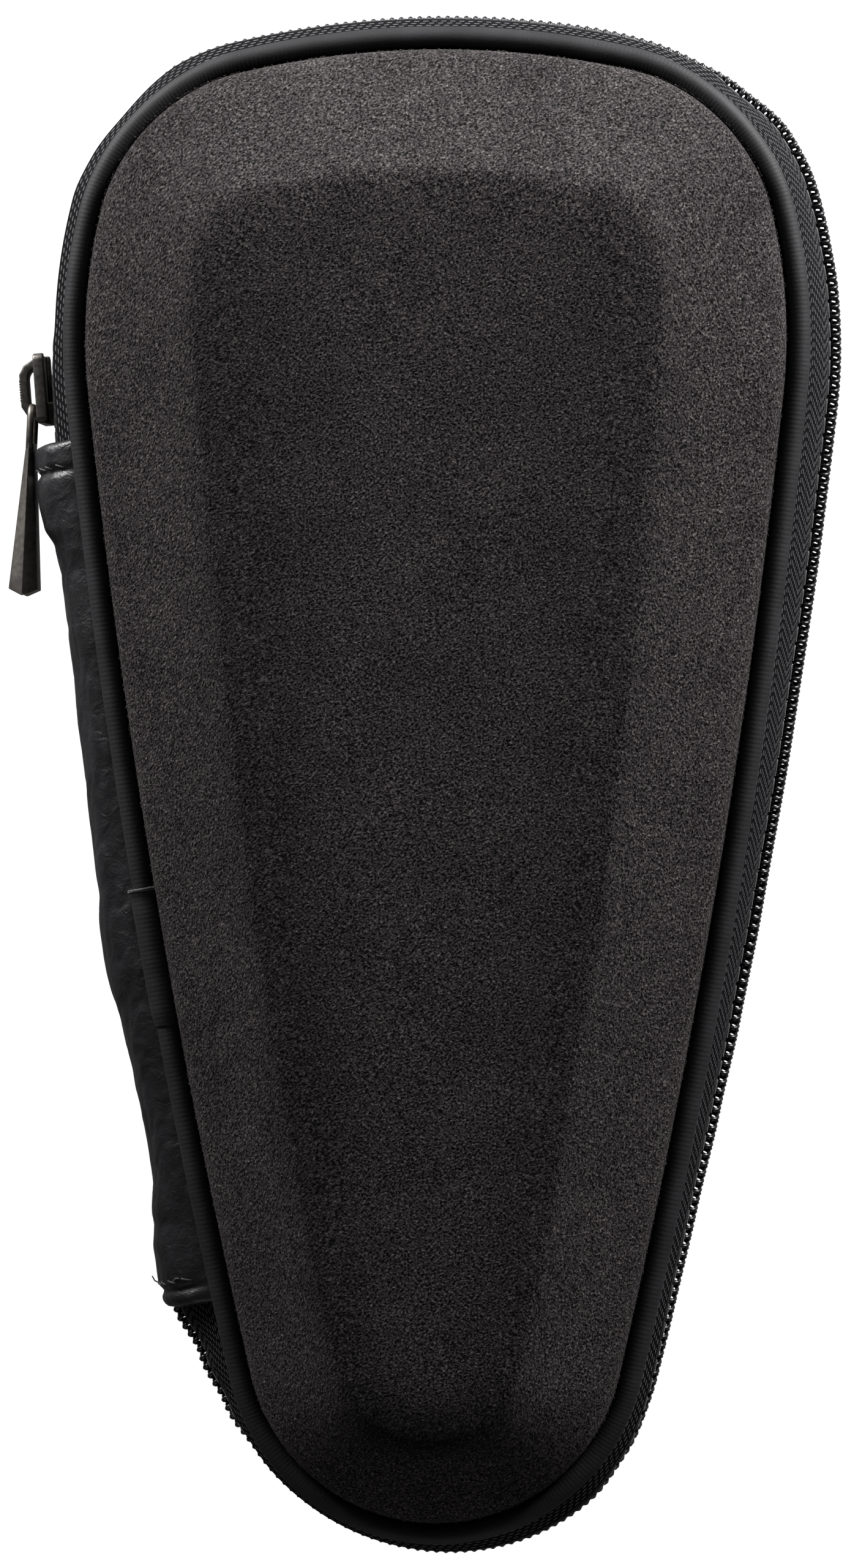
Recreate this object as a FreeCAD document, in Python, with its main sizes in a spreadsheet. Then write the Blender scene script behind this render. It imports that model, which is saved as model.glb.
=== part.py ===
import FreeCAD, Part
import math
import os
import Sketcher

# Zip-round moulded case for fountain pens, in millimetres.
# The origin is in the middle of the flat face that the case rests on. +Z is up,
# +Y points to the wide end and +X to the side away from the leather hinge strip.
# Lid and base mirror each other about the parting plane, where the zip chain runs.

V = FreeCAD.Vector
UP = V(0, 0, 1)
ROUND = 2 * math.pi

doc = FreeCAD.newDocument("PenCase")
sheet = doc.addObject("Spreadsheet::Sheet", "Sizes")

SIZES = [
    # Plan outline of the shell's rim, as tangent arcs
    ("rim_top", 99.5, "middle to the wide end of the rim"),
    ("rim_tip", 100.3, "middle to the narrow end of the rim"),
    ("rim_half_width", 48, "half the greatest width of the rim"),
    ("widest_at", 60, "how far towards the wide end the rim is widest"),
    ("crown_radius", 122, "arc across the wide end"),
    ("corner_radius", 25, "arc at the two corners of the wide end"),
    ("shoulder_radius", 73.5, "arc where the rim is widest"),
    ("flank_radius", 1100, "arc along the tapering sides"),
    ("tip_radius", 26, "arc round the narrow end"),
    # Plan outline of the raised flat deck on each half
    ("deck_top", 81.5, "middle to the wide end of the deck"),
    ("deck_tip", 88, "middle to the narrow end of the deck"),
    ("deck_half_width", 31, "half the greatest width of the deck"),
    ("deck_widest_at", 64, "how far towards the wide end the deck is widest"),
    ("deck_crown_radius", 110, "arc across the wide end of the deck"),
    ("deck_corner_radius", 9, "arc at the deck's corners"),
    ("deck_shoulder_radius", 60, "arc where the deck is widest"),
    ("deck_flank_radius", 1000, "arc along the deck's sides"),
    ("deck_tip_radius", 12.5, "arc round the deck's narrow end"),
    # Heights
    ("band_half", 11, "zip band, from the parting plane to the middle of a piping"),
    ("dome_rise", 16, "middle of a piping to the outside of the deck"),
    ("rim_drop", 1.5, "how far the rim's edge reaches past the piping's middle"),
    ("wall_rise", 1.0, "upright stretch of wall past the piping's middle"),
    ("lip_rise", 3.4, "rise of the rounded lip above the piping"),
    ("lip_share", 0.08, "share of the way to the deck that the lip takes"),
    ("slope_foot_rise", 5.2, "rise where the even slope starts"),
    ("slope_foot_share", 0.21, "share of the way to the deck where the slope starts"),
    ("brow_drop", 2.6, "drop below the deck where the slope rounds over"),
    ("brow_share", 0.84, "share of the way to the deck where the slope rounds over"),
    ("wall_lean", 8, "how far the wall leans in over the piping, in degrees"),
    ("lip_lean", 38, "lean of the rounded lip, in degrees"),
    ("slope_foot_lean", 52, "lean at the foot of the slope, in degrees"),
    ("brow_lean", 60, "lean where the slope rounds over, in degrees"),
    # Layers of each half
    ("cover_thickness", 0.8, "microsuede skin"),
    ("core_thickness", 3.0, "moulded foam shell"),
    ("lining_thickness", 0.6, "fabric lining"),
    ("glue_line", 0.1, "clear space between layers and under sewn pieces"),
    # Piping round each rim
    ("piping_radius", 1.5, "outside radius of the piping"),
    ("piping_wall", 0.5, "thickness of the piping's wrap"),
    ("sleeve_wall", 0.45, "thickness of the wrap that covers the piping's join"),
    ("sleeve_upper", 15.2, "upper end of the join's wrap, below the middle"),
    ("sleeve_length", 18.4, "length of the join's wrap along the case"),
    # Zip
    ("chain_offset", 5.3, "rim to the middle of the zip chain"),
    ("chain_thickness", 2.0, "zip chain across its two faces"),
    ("bead_height", 1.7, "height of the solid edge that carries the teeth"),
    ("bead_edge", 2.8, "parting plane to the far side of that edge"),
    ("tooth_pitch", 2.54, "pitch of the teeth, two coil turns each"),
    ("tooth_width", 0.92, "one tooth along the chain"),
    ("tooth_reach", 0.7, "how far a tooth crosses the parting plane"),
    ("tape_thickness", 0.7, "woven zip tape"),
    ("tape_upright", 5.4, "parting plane to where the tape leans in"),
    ("seam_width", 2.4, "sewn edge of the tape under the rim"),
    ("binding_width", 1.6, "binding strip inside the seam"),
    # Leather hinge strip on the left side
    ("strip_top", 46, "upper end of the leather strip"),
    ("strip_bottom", 71, "lower end of the leather strip, below the middle"),
    ("strip_thickness", 1.2, "folded leather"),
    ("strip_bulge", 7.2, "how far the strip stands out from the rim"),
    ("strip_swell", 1.3, "extra swell below the upper hem"),
    ("strip_belly", 1.5, "extra swell about its middle"),
    ("strip_belly_at", 22, "place of that swell, below the middle"),
    ("strip_low_swell", 2.7, "extra swell above the lower hem"),
    ("strip_gap", 1.1, "cut end of the tapes to the strip's upper end"),
    ("hem_length", 3.0, "sewn hem at each end of the strip"),
    ("hem_extra", 0.5, "extra thickness of the hems"),
    # Zip slider and puller
    ("slider_angle", 4.3, "slider's place on the shoulder arc, below its widest point"),
    ("slider_travel", 18, "slider's travel along the shoulder arc, in degrees"),
    ("slider_length", 9.6, "slider along the chain"),
    ("slider_width", 8.8, "slider across the chain"),
    ("slider_plate", 1.0, "thickness of each plate"),
    ("slider_play", 0.35, "running clearance round the chain"),
    ("tape_slot", 1.7, "slot between the flanges for the tape"),
    ("notch_margin", 2.5, "room beside the slider in the lid's tape"),
    ("post_length", 3.0, "post that parts the two rows of teeth"),
    ("post_height", 1.1, "post across the parting plane"),
    ("slider_corner", 1.0, "rounding of the plates' corners"),
    ("bail_length", 8.4, "bail along the chain"),
    ("bail_corner", 2.1, "rounding of the bail's two outer corners"),
    ("bail_rise", 2.8, "bail's height over the plate"),
    ("bail_strap", 1.05, "thickness of the bail's strap"),
    ("bail_width", 3.0, "bail across the chain"),
    ("puller_length", 26, "puller from its pin to its end"),
    ("puller_width", 6.0, "puller across"),
    ("puller_thin", 1.0, "puller's thickness at its eye"),
    ("puller_thick", 3.9, "puller's thickness at its end"),
    ("puller_lean", 7, "outward lean of the hanging puller, in degrees"),
    ("pin_play", 0.35, "clearance round the puller's pin and eye"),
    ("eye_length", 4.6, "slot in the puller that the bail passes through"),
    ("puller_edge", 0.7, "bevel along the puller's edges"),
    # Pen holder in the base
    ("pad_margin", 4.0, "deck's edge to the edge of the pen pad"),
    ("pad_thickness", 2.0, "padded board under the pens"),
    ("loop_radius", 7.2, "inside radius of a pen loop"),
    ("loop_pitch", 18.6, "spacing of the pens"),
    ("loop_count", 3, "number of pen loops"),
    ("band_width", 22, "width of the elastic band"),
    ("band_thickness", 1.2, "thickness of the elastic band"),
    ("band_at", 44, "place of the band, towards the wide end"),
]

for row, (alias, number, meaning) in enumerate(SIZES, 1):
    sheet.set(f"A{row}", meaning)
    sheet.set(f"B{row}", str(number))
    sheet.setAlias(f"B{row}", alias)
doc.recompute()


def value(text):
    return float(sheet.evalExpression(text))


def size(alias):
    return value(f"Sizes.{alias}")


# Heights and places that several pieces share
PARTING = "(Sizes.band_half + Sizes.dome_rise)"
PIPING_OFFSET = "(Sizes.piping_radius + Sizes.glue_line)"
WALL = "(Sizes.cover_thickness + Sizes.core_thickness + Sizes.lining_thickness + 2 * Sizes.glue_line)"
SEAM = "(Sizes.band_half - Sizes.rim_drop - Sizes.glue_line)"

subParts = []


def keep(obj, node):
    obj.Label = node
    subParts.append(obj)
    return obj


# Outline of the case at any share of the way from rim (0) to deck (1), grown by an offset

def outlineTexts(share, grow):
    def mix(rim, deck):
        return f"(Sizes.{rim} + (Sizes.{deck} - Sizes.{rim}) * {share})"

    return {
        "crown": f"{mix('crown_radius', 'deck_crown_radius')} + {grow}",
        "corner": f"{mix('corner_radius', 'deck_corner_radius')} + {grow}",
        "shoulder": f"{mix('shoulder_radius', 'deck_shoulder_radius')} + {grow}",
        "flank": f"{mix('flank_radius', 'deck_flank_radius')} + {grow}",
        "tip": f"{mix('tip_radius', 'deck_tip_radius')} + {grow}",
        "crownY": f"{mix('rim_top', 'deck_top')} - {mix('crown_radius', 'deck_crown_radius')}",
        "tipY": f"{mix('tip_radius', 'deck_tip_radius')} - {mix('rim_tip', 'deck_tip')}",
        "shoulderX": f"{mix('shoulder_radius', 'deck_shoulder_radius')}"
                     f" - {mix('rim_half_width', 'deck_half_width')}",
        "shoulderY": mix("widest_at", "deck_widest_at"),
    }


def circlesMeet(a, radiusA, b, radiusB):
    dx, dy = b[0] - a[0], b[1] - a[1]
    apart = math.hypot(dx, dy)
    along = (radiusA ** 2 - radiusB ** 2 + apart ** 2) / (2 * apart)
    across = math.sqrt(radiusA ** 2 - along ** 2)
    x, y = a[0] + along * dx / apart, a[1] + along * dy / apart
    return [(x - side * across * dy / apart, y + side * across * dx / apart) for side in (1, -1)]


ARC_ORDER = ["crown", "corner", "shoulder", "flank", "tip", "tip", "flank", "shoulder", "corner", "crown"]


def outlineArcs(share, grow):
    # Anticlockwise from the middle of the wide end: (centre, radius, start angle, end angle)
    v = {name: value(text) for name, text in outlineTexts(share, grow).items()}
    crown = (0.0, v["crownY"])
    tip = (0.0, v["tipY"])
    shoulder = (v["shoulderX"], v["shoulderY"])
    corner = min(circlesMeet(shoulder, v["shoulder"] - v["corner"], crown, v["crown"] - v["corner"]))
    flank = max(circlesMeet(shoulder, v["flank"] - v["shoulder"], tip, v["flank"] - v["tip"]))

    def toward(a, b):
        return math.atan2(b[1] - a[1], b[0] - a[0]) % ROUND

    turns = [math.pi / 2, toward(crown, corner), toward(shoulder, corner),
             toward(flank, shoulder), toward(flank, tip), 1.5 * math.pi]
    centres = [crown, corner, shoulder, flank, tip]
    left = [(c, v[kind], s, e) for c, kind, s, e in zip(centres, ARC_ORDER, turns, turns[1:])]
    right = [((-c[0], c[1]), r, 3 * math.pi - e, 3 * math.pi - s) for c, r, s, e in reversed(left)]
    return left + right


def newSketch(body, name, role, height=None):
    sketch = body.newObject("Sketcher::SketchObject", name)
    plane = [origin for origin in body.Origin.OriginFeatures if origin.Role == role][0]
    sketch.AttachmentSupport = (plane, [""])
    sketch.MapMode = "FlatFace"
    if height:
        sketch.setExpression(".AttachmentOffset.Base.z", height)
    return sketch


def drive(sketch, text, kind, *places):
    index = sketch.addConstraint(Sketcher.Constraint(kind, *places, value(text)))
    sketch.setExpression(f"Constraints[{index}]", text)


def outlineSketch(body, name, share, grow, height):
    sketch = newSketch(body, name, "XY_Plane", height)
    arcs = outlineArcs(share, grow)
    texts = outlineTexts(share, grow)
    for centre, radius, start, end in arcs:
        sketch.addGeometry(Part.ArcOfCircle(Part.Circle(V(*centre, 0), UP, radius), start, end))
    for i in range(len(arcs)):
        sketch.addConstraint(Sketcher.Constraint("Tangent", i, 2, (i + 1) % len(arcs), 1))
    for arc, point in ((0, 1), (4, 2), (0, 3), (4, 3)):
        sketch.addConstraint(Sketcher.Constraint("PointOnObject", arc, point, -2))
    for i, kind in enumerate(ARC_ORDER):
        drive(sketch, texts[kind], "Radius", i)
    drive(sketch, texts["crownY"], "DistanceY", -1, 1, 0, 3)
    drive(sketch, texts["tipY"], "DistanceY", -1, 1, 4, 3)
    for arc, sign in ((2, "1"), (7, "-1")):
        drive(sketch, f"{sign} * ({texts['shoulderX']})", "DistanceX", -1, 1, arc, 3)
        drive(sketch, texts["shoulderY"], "DistanceY", -1, 1, arc, 3)
    return sketch


def polygonSketch(body, name, role, corners, height=None):
    sketch = newSketch(body, name, role, height)
    places = [V(value(x), value(y), 0) for x, y in corners]
    count = len(places)
    for i in range(count):
        sketch.addGeometry(Part.LineSegment(places[i], places[(i + 1) % count]))
    for i, (x, y) in enumerate(corners):
        sketch.addConstraint(Sketcher.Constraint("Coincident", i, 2, (i + 1) % count, 1))
        drive(sketch, x, "DistanceX", -1, 1, i, 1)
        drive(sketch, y, "DistanceY", -1, 1, i, 1)
    return sketch


def newBody(node):
    return keep(doc.addObject("PartDesign::Body", node.title().replace("_", "")), node)


def pad(body, name, sketch, length, midplane=False):
    feature = body.newObject("PartDesign::Pad", name)
    feature.Profile = sketch
    feature.setExpression("Length", length)
    if midplane:
        feature.SideType = "Symmetric"


def pocketThrough(body, name, sketch):
    feature = body.newObject("PartDesign::Pocket", name)
    feature.Profile = sketch
    feature.SideType = "Two sides"
    feature.Type = "ThroughAll"
    feature.Type2 = "ThroughAll"


# Moulded halves: skin, foam shell and lining, each a loft with a smaller loft taken out

STATIONS = [
    # share of the way to the deck, rise over the piping's middle, lean of the face
    ("0", "-1 * Sizes.rim_drop", "0"),
    ("0", "Sizes.wall_rise", "Sizes.wall_lean"),
    ("Sizes.lip_share", "Sizes.lip_rise", "Sizes.lip_lean"),
    ("Sizes.slope_foot_share", "Sizes.slope_foot_rise", "Sizes.slope_foot_lean"),
    ("Sizes.brow_share", "(Sizes.dome_rise - Sizes.brow_drop)", "Sizes.brow_lean"),
    ("1", "Sizes.dome_rise", "90"),
]


def domeSections(body, name, depth):
    sections = []
    for i, (share, rise, lean) in enumerate(STATIONS):
        inward = f"-1 * {depth} * cos({lean})"
        height = f"{PARTING} + Sizes.band_half + {rise} - {depth} * sin({lean})"
        sections.append(outlineSketch(body, f"{name}{i}", share, inward, height))
    return sections


def loft(body, name, kind, sections):
    feature = body.newObject(f"PartDesign::{kind}", name)
    feature.Profile = sections[0]
    feature.Sections = sections[1:]
    feature.Ruled = True


def lidLayer(node, outerDepth, innerDepth):
    body = newBody(node)
    loft(body, "Outside", "AdditiveLoft", domeSections(body, "Outer", outerDepth))
    loft(body, "Inside", "SubtractiveLoft", domeSections(body, "Inner", innerDepth))
    return body


def mirrored(source, node):
    twin = doc.addObject("Part::Mirroring", node.title().replace("_", ""))
    twin.Source = source
    twin.Normal = UP
    twin.setExpression("Base.z", PARTING)
    keep(twin, node)


COVER_DEPTH = "Sizes.cover_thickness"
CORE_TOP = f"({COVER_DEPTH} + Sizes.glue_line)"
CORE_DEPTH = f"({CORE_TOP} + Sizes.core_thickness)"
LINING_TOP = f"({CORE_DEPTH} + Sizes.glue_line)"

lidCover = lidLayer("lid_cover", "0", COVER_DEPTH)
lidShell = lidLayer("lid_shell", CORE_TOP, CORE_DEPTH)
lidLining = lidLayer("lid_lining", LINING_TOP, WALL)


# Rings that follow the rim: piping, its cord, the seam binding and the zip tapes

def ring(body, name, kind, profile, path):
    feature = body.newObject(f"PartDesign::{kind}", name)
    feature.Profile = profile
    feature.Spine = (path, [f"Edge{i + 1}" for i in range(len(ARC_ORDER))])


def circleSketch(body, name, across, height, radius):
    sketch = newSketch(body, name, "YZ_Plane")
    sketch.addGeometry(Part.Circle(V(value(across), value(height), 0), UP, value(radius)))
    drive(sketch, radius, "Radius", 0)
    drive(sketch, across, "DistanceX", -1, 1, 0, 3)
    drive(sketch, height, "DistanceY", -1, 1, 0, 3)
    return sketch


PIPING_HEIGHT = f"{PARTING} + Sizes.band_half"
PIPING_AT = f"Sizes.rim_top + {PIPING_OFFSET}"
PIPING_BORE = "Sizes.piping_radius - Sizes.piping_wall"


def lidPiping():
    body = newBody("lid_piping")
    path = outlineSketch(body, "PipingLine", "0", PIPING_OFFSET, PIPING_HEIGHT)
    wrap = circleSketch(body, "Wrap", PIPING_AT, PIPING_HEIGHT, "Sizes.piping_radius")
    ring(body, "WrapRing", "AdditivePipe", wrap, path)
    bore = circleSketch(body, "Bore", PIPING_AT, PIPING_HEIGHT, PIPING_BORE)
    ring(body, "BoreRing", "SubtractivePipe", bore, path)
    return body


def lidPipingCord():
    body = newBody("lid_piping_cord")
    path = outlineSketch(body, "CordLine", "0", PIPING_OFFSET, PIPING_HEIGHT)
    cord = circleSketch(body, "Cord", PIPING_AT, PIPING_HEIGHT, f"{PIPING_BORE} - Sizes.glue_line")
    ring(body, "CordRing", "AdditivePipe", cord, path)
    return body


def acrossRim(offset):
    return f"Sizes.rim_top + {offset}"


def lidSeamBinding():
    body = newBody("lid_seam_binding")
    top = f"{PARTING} + {SEAM}"
    inner = acrossRim(f"-1 * {WALL}")
    outer = acrossRim(f"-1 * {WALL} + Sizes.binding_width")
    low = f"{top} - Sizes.tape_thickness"
    path = outlineSketch(body, "BindingLine", "0", f"-1 * {WALL}", top)
    strip = polygonSketch(body, "Strip", "YZ_Plane", [(inner, low), (outer, low), (outer, top), (inner, top)])
    ring(body, "StripRing", "AdditivePipe", strip, path)
    return body


lidPipingRing = lidPiping()
lidCord = lidPipingCord()
lidBinding = lidSeamBinding()

mirrored(lidCover, "base_cover")
mirrored(lidShell, "base_shell")
mirrored(lidLining, "base_lining")
mirrored(lidPipingRing, "base_piping")
mirrored(lidCord, "base_piping_cord")
mirrored(lidBinding, "base_seam_binding")


# Zip tapes: upright beside the chain, then leaning in under the piping to the sewn seam

def stripWindow(body):
    # The stretch of the left side that the leather strip takes, cut from well outside to well inside
    left = "-1 * (Sizes.rim_half_width + Sizes.tip_radius)"
    right = "-1 * Sizes.deck_tip_radius"
    low, high = "-1 * Sizes.strip_bottom", "Sizes.strip_top"
    corners = [(left, low), (right, low), (right, high), (left, high)]
    pocketThrough(body, "StripWindow", polygonSketch(body, "StripGap", "XY_Plane", corners))


SLIDER_RADIUS = "(Sizes.shoulder_radius + Sizes.chain_offset)"
SHOULDER_X = "(Sizes.shoulder_radius - Sizes.rim_half_width)"
SLIDER_X = f"({SHOULDER_X} - {SLIDER_RADIUS} * cos(Sizes.slider_angle))"
SLIDER_Y = f"(Sizes.widest_at - {SLIDER_RADIUS} * sin(Sizes.slider_angle))"
NOTCH_ROOM = "(Sizes.slider_length / 2 + Sizes.notch_margin)"


def tape(node, side):
    body = newBody(node)
    half = "Sizes.tape_thickness / 2"
    seam = f"({SEAM} - {half})"
    line = [("Sizes.chain_offset", "(Sizes.bead_edge + Sizes.glue_line)"),
            ("Sizes.chain_offset", "Sizes.tape_upright"),
            (f"{PIPING_OFFSET}", f"({seam} - Sizes.tape_thickness)"),
            ("-1 * Sizes.seam_width", seam)]
    faces = [(half, "0"), (half, half), (half, half), ("0", half)]
    outer = [(acrossRim(f"{x} + {dx}"), f"{PARTING} + {side} * ({z} + {dz})")
             for (x, z), (dx, dz) in zip(line, faces)]
    inner = [(acrossRim(f"{x} - {dx}"), f"{PARTING} + {side} * ({z} - {dz})")
             for (x, z), (dx, dz) in zip(line, faces)]
    path = outlineSketch(body, "TapeLine", "0", "Sizes.chain_offset", PARTING)
    section = polygonSketch(body, "TapeSection", "YZ_Plane", outer + inner[::-1])
    ring(body, "TapeRing", "AdditivePipe", section, path)
    stripWindow(body)
    return body


def sliderNotch(body):
    # Room in the lid's tape for the slider, which stays on the base when the lid swings
    low = f"{PARTING} - Sizes.slider_width"
    high = f"{PARTING} + Sizes.slider_width / 2 + Sizes.slider_play + Sizes.pin_play"
    bottom = f"{SLIDER_Y} - {NOTCH_ROOM}"
    top = f"{SLIDER_Y} + {NOTCH_ROOM}"
    corners = [(bottom, low), (top, low), (top, high), (bottom, high)]
    sketch = polygonSketch(body, "NotchFace", "YZ_Plane", corners)
    notch = body.newObject("PartDesign::Pocket", "SliderNotch")
    notch.Profile = sketch
    notch.Type = "ThroughAll"


lidTape = tape("lid_tape", "1")
sliderNotch(lidTape)
tape("base_tape", "-1")


# Zip coils: a solid edge with interlocking teeth, along the whole chain

CHAIN_ARCS = outlineArcs("0", "Sizes.chain_offset")


def arcLength(arc):
    centre, radius, start, end = arc
    return radius * (end - start)


WHOLE_CHAIN = sum(arcLength(arc) for arc in CHAIN_ARCS)


def chainPlace(along):
    # Point and outward direction at a length along the chain, anticlockwise from the wide end
    along = along % WHOLE_CHAIN
    for arc in CHAIN_ARCS:
        if along <= arcLength(arc):
            break
        along -= arcLength(arc)
    centre, radius, start, end = arc
    angle = start + along / radius
    outward = V(math.cos(angle), math.sin(angle), 0)
    return V(*centre, 0) + outward * radius, outward


def chainAt(y, index):
    # Length along the chain where its arc of that index, on the left side, crosses a height in Y
    centre, radius, start, end = CHAIN_ARCS[index]
    angle = math.pi - math.asin((y - centre[1]) / radius)
    return sum(arcLength(arc) for arc in CHAIN_ARCS[:index]) + radius * (angle - start)


def chainEdges(first, last, offset):
    edges = []
    done = 0.0
    for centre, radius, start, end in CHAIN_ARCS * 2:
        length = radius * (end - start)
        low, high = max(first, done), min(last, done + length)
        if high > low:
            circle = Part.Circle(V(*centre, 0), UP, radius + offset)
            turn = [start + (place - done) / radius for place in (low, high)]
            edges.append(Part.ArcOfCircle(circle, *turn).toShape())
        done += length
    return edges


SHOULDER_ARC, FLANK_ARC = 2, 3
SLIDER_ALONG = WHOLE_CHAIN + chainAt(value(SLIDER_Y), SHOULDER_ARC)
STRIP_START = WHOLE_CHAIN + chainAt(size("strip_top"), FLANK_ARC)
STRIP_END = chainAt(-size("strip_bottom"), FLANK_ARC)
RUN_END = SLIDER_ALONG - math.radians(size("slider_travel")) * value(SLIDER_RADIUS) - size("slider_length")
POST_START = SLIDER_ALONG + size("slider_length") / 2 - size("post_length") - size("tooth_width")


def coil(node, side, first, last):
    half = size("chain_thickness") / 2
    parting, edge, deep = value(PARTING), size("bead_edge"), size("bead_height")
    outer, inner = chainEdges(first, last, half), chainEdges(first, last, -half)
    ends = [Part.makeLine(outer[i].Vertexes[i].Point, inner[i].Vertexes[i].Point) for i in (0, -1)]
    face = Part.Face(Part.Wire(Part.__sortEdges__(outer + ends + inner)))
    face.translate(V(0, 0, parting + side * edge))
    bead = face.extrude(V(0, 0, -side * deep))
    pitch, width, reach = size("tooth_pitch"), size("tooth_width"), size("tooth_reach")
    root = edge - deep
    phase = pitch / 4 * side
    teeth = []
    for turn in range(int(first / pitch), int(min(last, POST_START) / pitch) + 1):
        along = turn * pitch + phase
        if not first + width < along < min(last, POST_START) - width:
            continue
        place, outward = chainPlace(along)
        tooth = Part.makeBox(2 * half, width, root + reach, V(-half, -width / 2, 0))
        tooth.rotate(V(), UP, math.degrees(math.atan2(outward.y, outward.x)))
        tooth.translate(place + V(0, 0, parting - (reach if side > 0 else root)))
        teeth.append(tooth)
    feature = doc.addObject("Part::Feature", node.title().replace("_", ""))
    feature.Shape = bead.multiFuse(teeth).removeSplitter().Solids[0]
    keep(feature, node)


END_GAP = size("glue_line")
coil("lid_coil", 1, STRIP_END + END_GAP, RUN_END - END_GAP)
coil("base_coil", -1, STRIP_END + END_GAP, RUN_END - END_GAP)
coil("lid_coil_end", 1, RUN_END, SLIDER_ALONG - value(NOTCH_ROOM))
coil("base_coil_end", -1, RUN_END, STRIP_START - END_GAP)


# Wrap over the join of the lid's piping, open on the side of the shell and of the seam

def pipingSleeve():
    centre, flank, start, end = outlineArcs("0", PIPING_OFFSET)[FLANK_ARC]
    lower = -size("sleeve_upper") - size("sleeve_length")
    turns = [math.pi - math.asin((y - centre[1]) / flank) for y in (-size("sleeve_upper"), lower)]
    middle = V(*centre, value(PIPING_HEIGHT))
    line = Part.ArcOfCircle(Part.Circle(middle, UP, flank), *turns).toShape()
    begin, way = line.valueAt(line.FirstParameter), line.tangentAt(line.FirstParameter)
    bore = size("piping_radius") + size("glue_line")

    def tube(radius):
        rim = Part.Wire([Part.makeCircle(radius, begin, way)])
        return Part.Wire([line]).makePipeShell([rim], True, False)

    wrap = tube(bore + size("sleeve_wall")).cut(tube(bore))
    reach = 4 * size("piping_radius")
    shellSide = Part.makeCylinder(flank - size("piping_radius"), 2 * reach, middle - UP * reach)
    across, along = 2 * size("rim_half_width"), 2 * size("rim_tip")
    below = middle.z - size("piping_radius") - reach
    seamSide = Part.makeBox(across, along, reach, V(-across, -along / 2, below))
    feature = doc.addObject("Part::Feature", "LidPipingSleeve")
    feature.Shape = max(wrap.cut(shellSide).cut(seamSide).Solids, key=lambda solid: solid.Volume)
    keep(feature, "lid_piping_sleeve")


pipingSleeve()


# Leather hinge strip: an arched band from seam to seam that swells beside its two sewn hems

def stripSection(along, bulge, thickness):
    place, outward = chainPlace(along)
    rim = place - outward * size("chain_offset") + UP * value(PARTING)
    seam = value(SEAM)
    ends = [[rim + outward * e + UP * z for z in (-seam, seam)] for e in (thickness, 0)]
    arcs = []
    for (low, high), top in zip(ends, (bulge, bulge - thickness)):
        arcs.append(Part.Arc(low, rim + outward * top, high).toShape())
    sides = [Part.makeLine(ends[0][i], ends[1][i]) for i in (0, 1)]
    return Part.Wire(Part.__sortEdges__([arcs[0], sides[1], arcs[1], sides[0]]))


def hingeStrip():
    hem, thick, bulge = size("hem_length"), size("strip_thickness"), size("strip_bulge")
    thickHem = thick + size("hem_extra")
    top, low = bulge + size("strip_swell"), bulge + size("strip_low_swell")
    first = STRIP_START - WHOLE_CHAIN + size("strip_gap")
    last = STRIP_END - END_GAP
    belly = chainAt(-size("strip_belly_at"), FLANK_ARC)
    forms = [(first, top, thickHem), (first + hem, top, thickHem), (first + hem + thick, top, thick),
             (first + 3 * hem, top, thick), (first + 5 * hem, bulge, thick),
             ((first + belly) / 2, bulge, thick), (belly, bulge + size("strip_belly"), thick),
             ((belly + last) / 2, bulge, thick), (last - 3 * hem, low, thick),
             (last - hem - thick, low, thick), (last - hem, low, thickHem), (last, low, thickHem)]
    feature = doc.addObject("Part::Feature", "HingeStrip")
    feature.Shape = Part.makeLoft([stripSection(*form) for form in forms], True, True)
    keep(feature, "hinge_strip")


hingeStrip()


# Zip slider: two flanged plates on a post, with its bail and puller

TURN = "(180 + Sizes.slider_angle)"
CHANNEL = "(Sizes.chain_thickness / 2 + Sizes.slider_play)"
PLATE_FACE = f"({CHANNEL} + Sizes.slider_plate)"


def placeOnChain(obj, outward, along, turn):
    # Outward and along are measured from the chain's middle at the slider
    x = f"{SLIDER_X} + {outward} * cos{TURN} - {along} * sin{TURN}"
    y = f"{SLIDER_Y} + {outward} * sin{TURN} + {along} * cos{TURN}"
    obj.Placement = FreeCAD.Placement(V(), FreeCAD.Rotation(UP, value(turn)))
    obj.setExpression("Placement.Base.x", x)
    obj.setExpression("Placement.Base.y", y)
    obj.setExpression("Placement.Base.z", PARTING)
    obj.setExpression("Placement.Rotation.Angle", turn)


def dressEdges(body, kind, name, prop, text, test):
    # Fillet or chamfer on the straight edges whose middle and direction pass the test
    doc.recompute()
    last = body.Tip
    edges = []
    for i, edge in enumerate(last.Shape.Edges, 1):
        if test(edge.CenterOfMass, edge.tangentAt(edge.FirstParameter)):
            edges.append(f"Edge{i}")
    feature = body.newObject(f"PartDesign::{kind}", name)
    feature.Base = (last, edges)
    feature.setExpression(prop, text)


NEAR = 0.01


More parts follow.
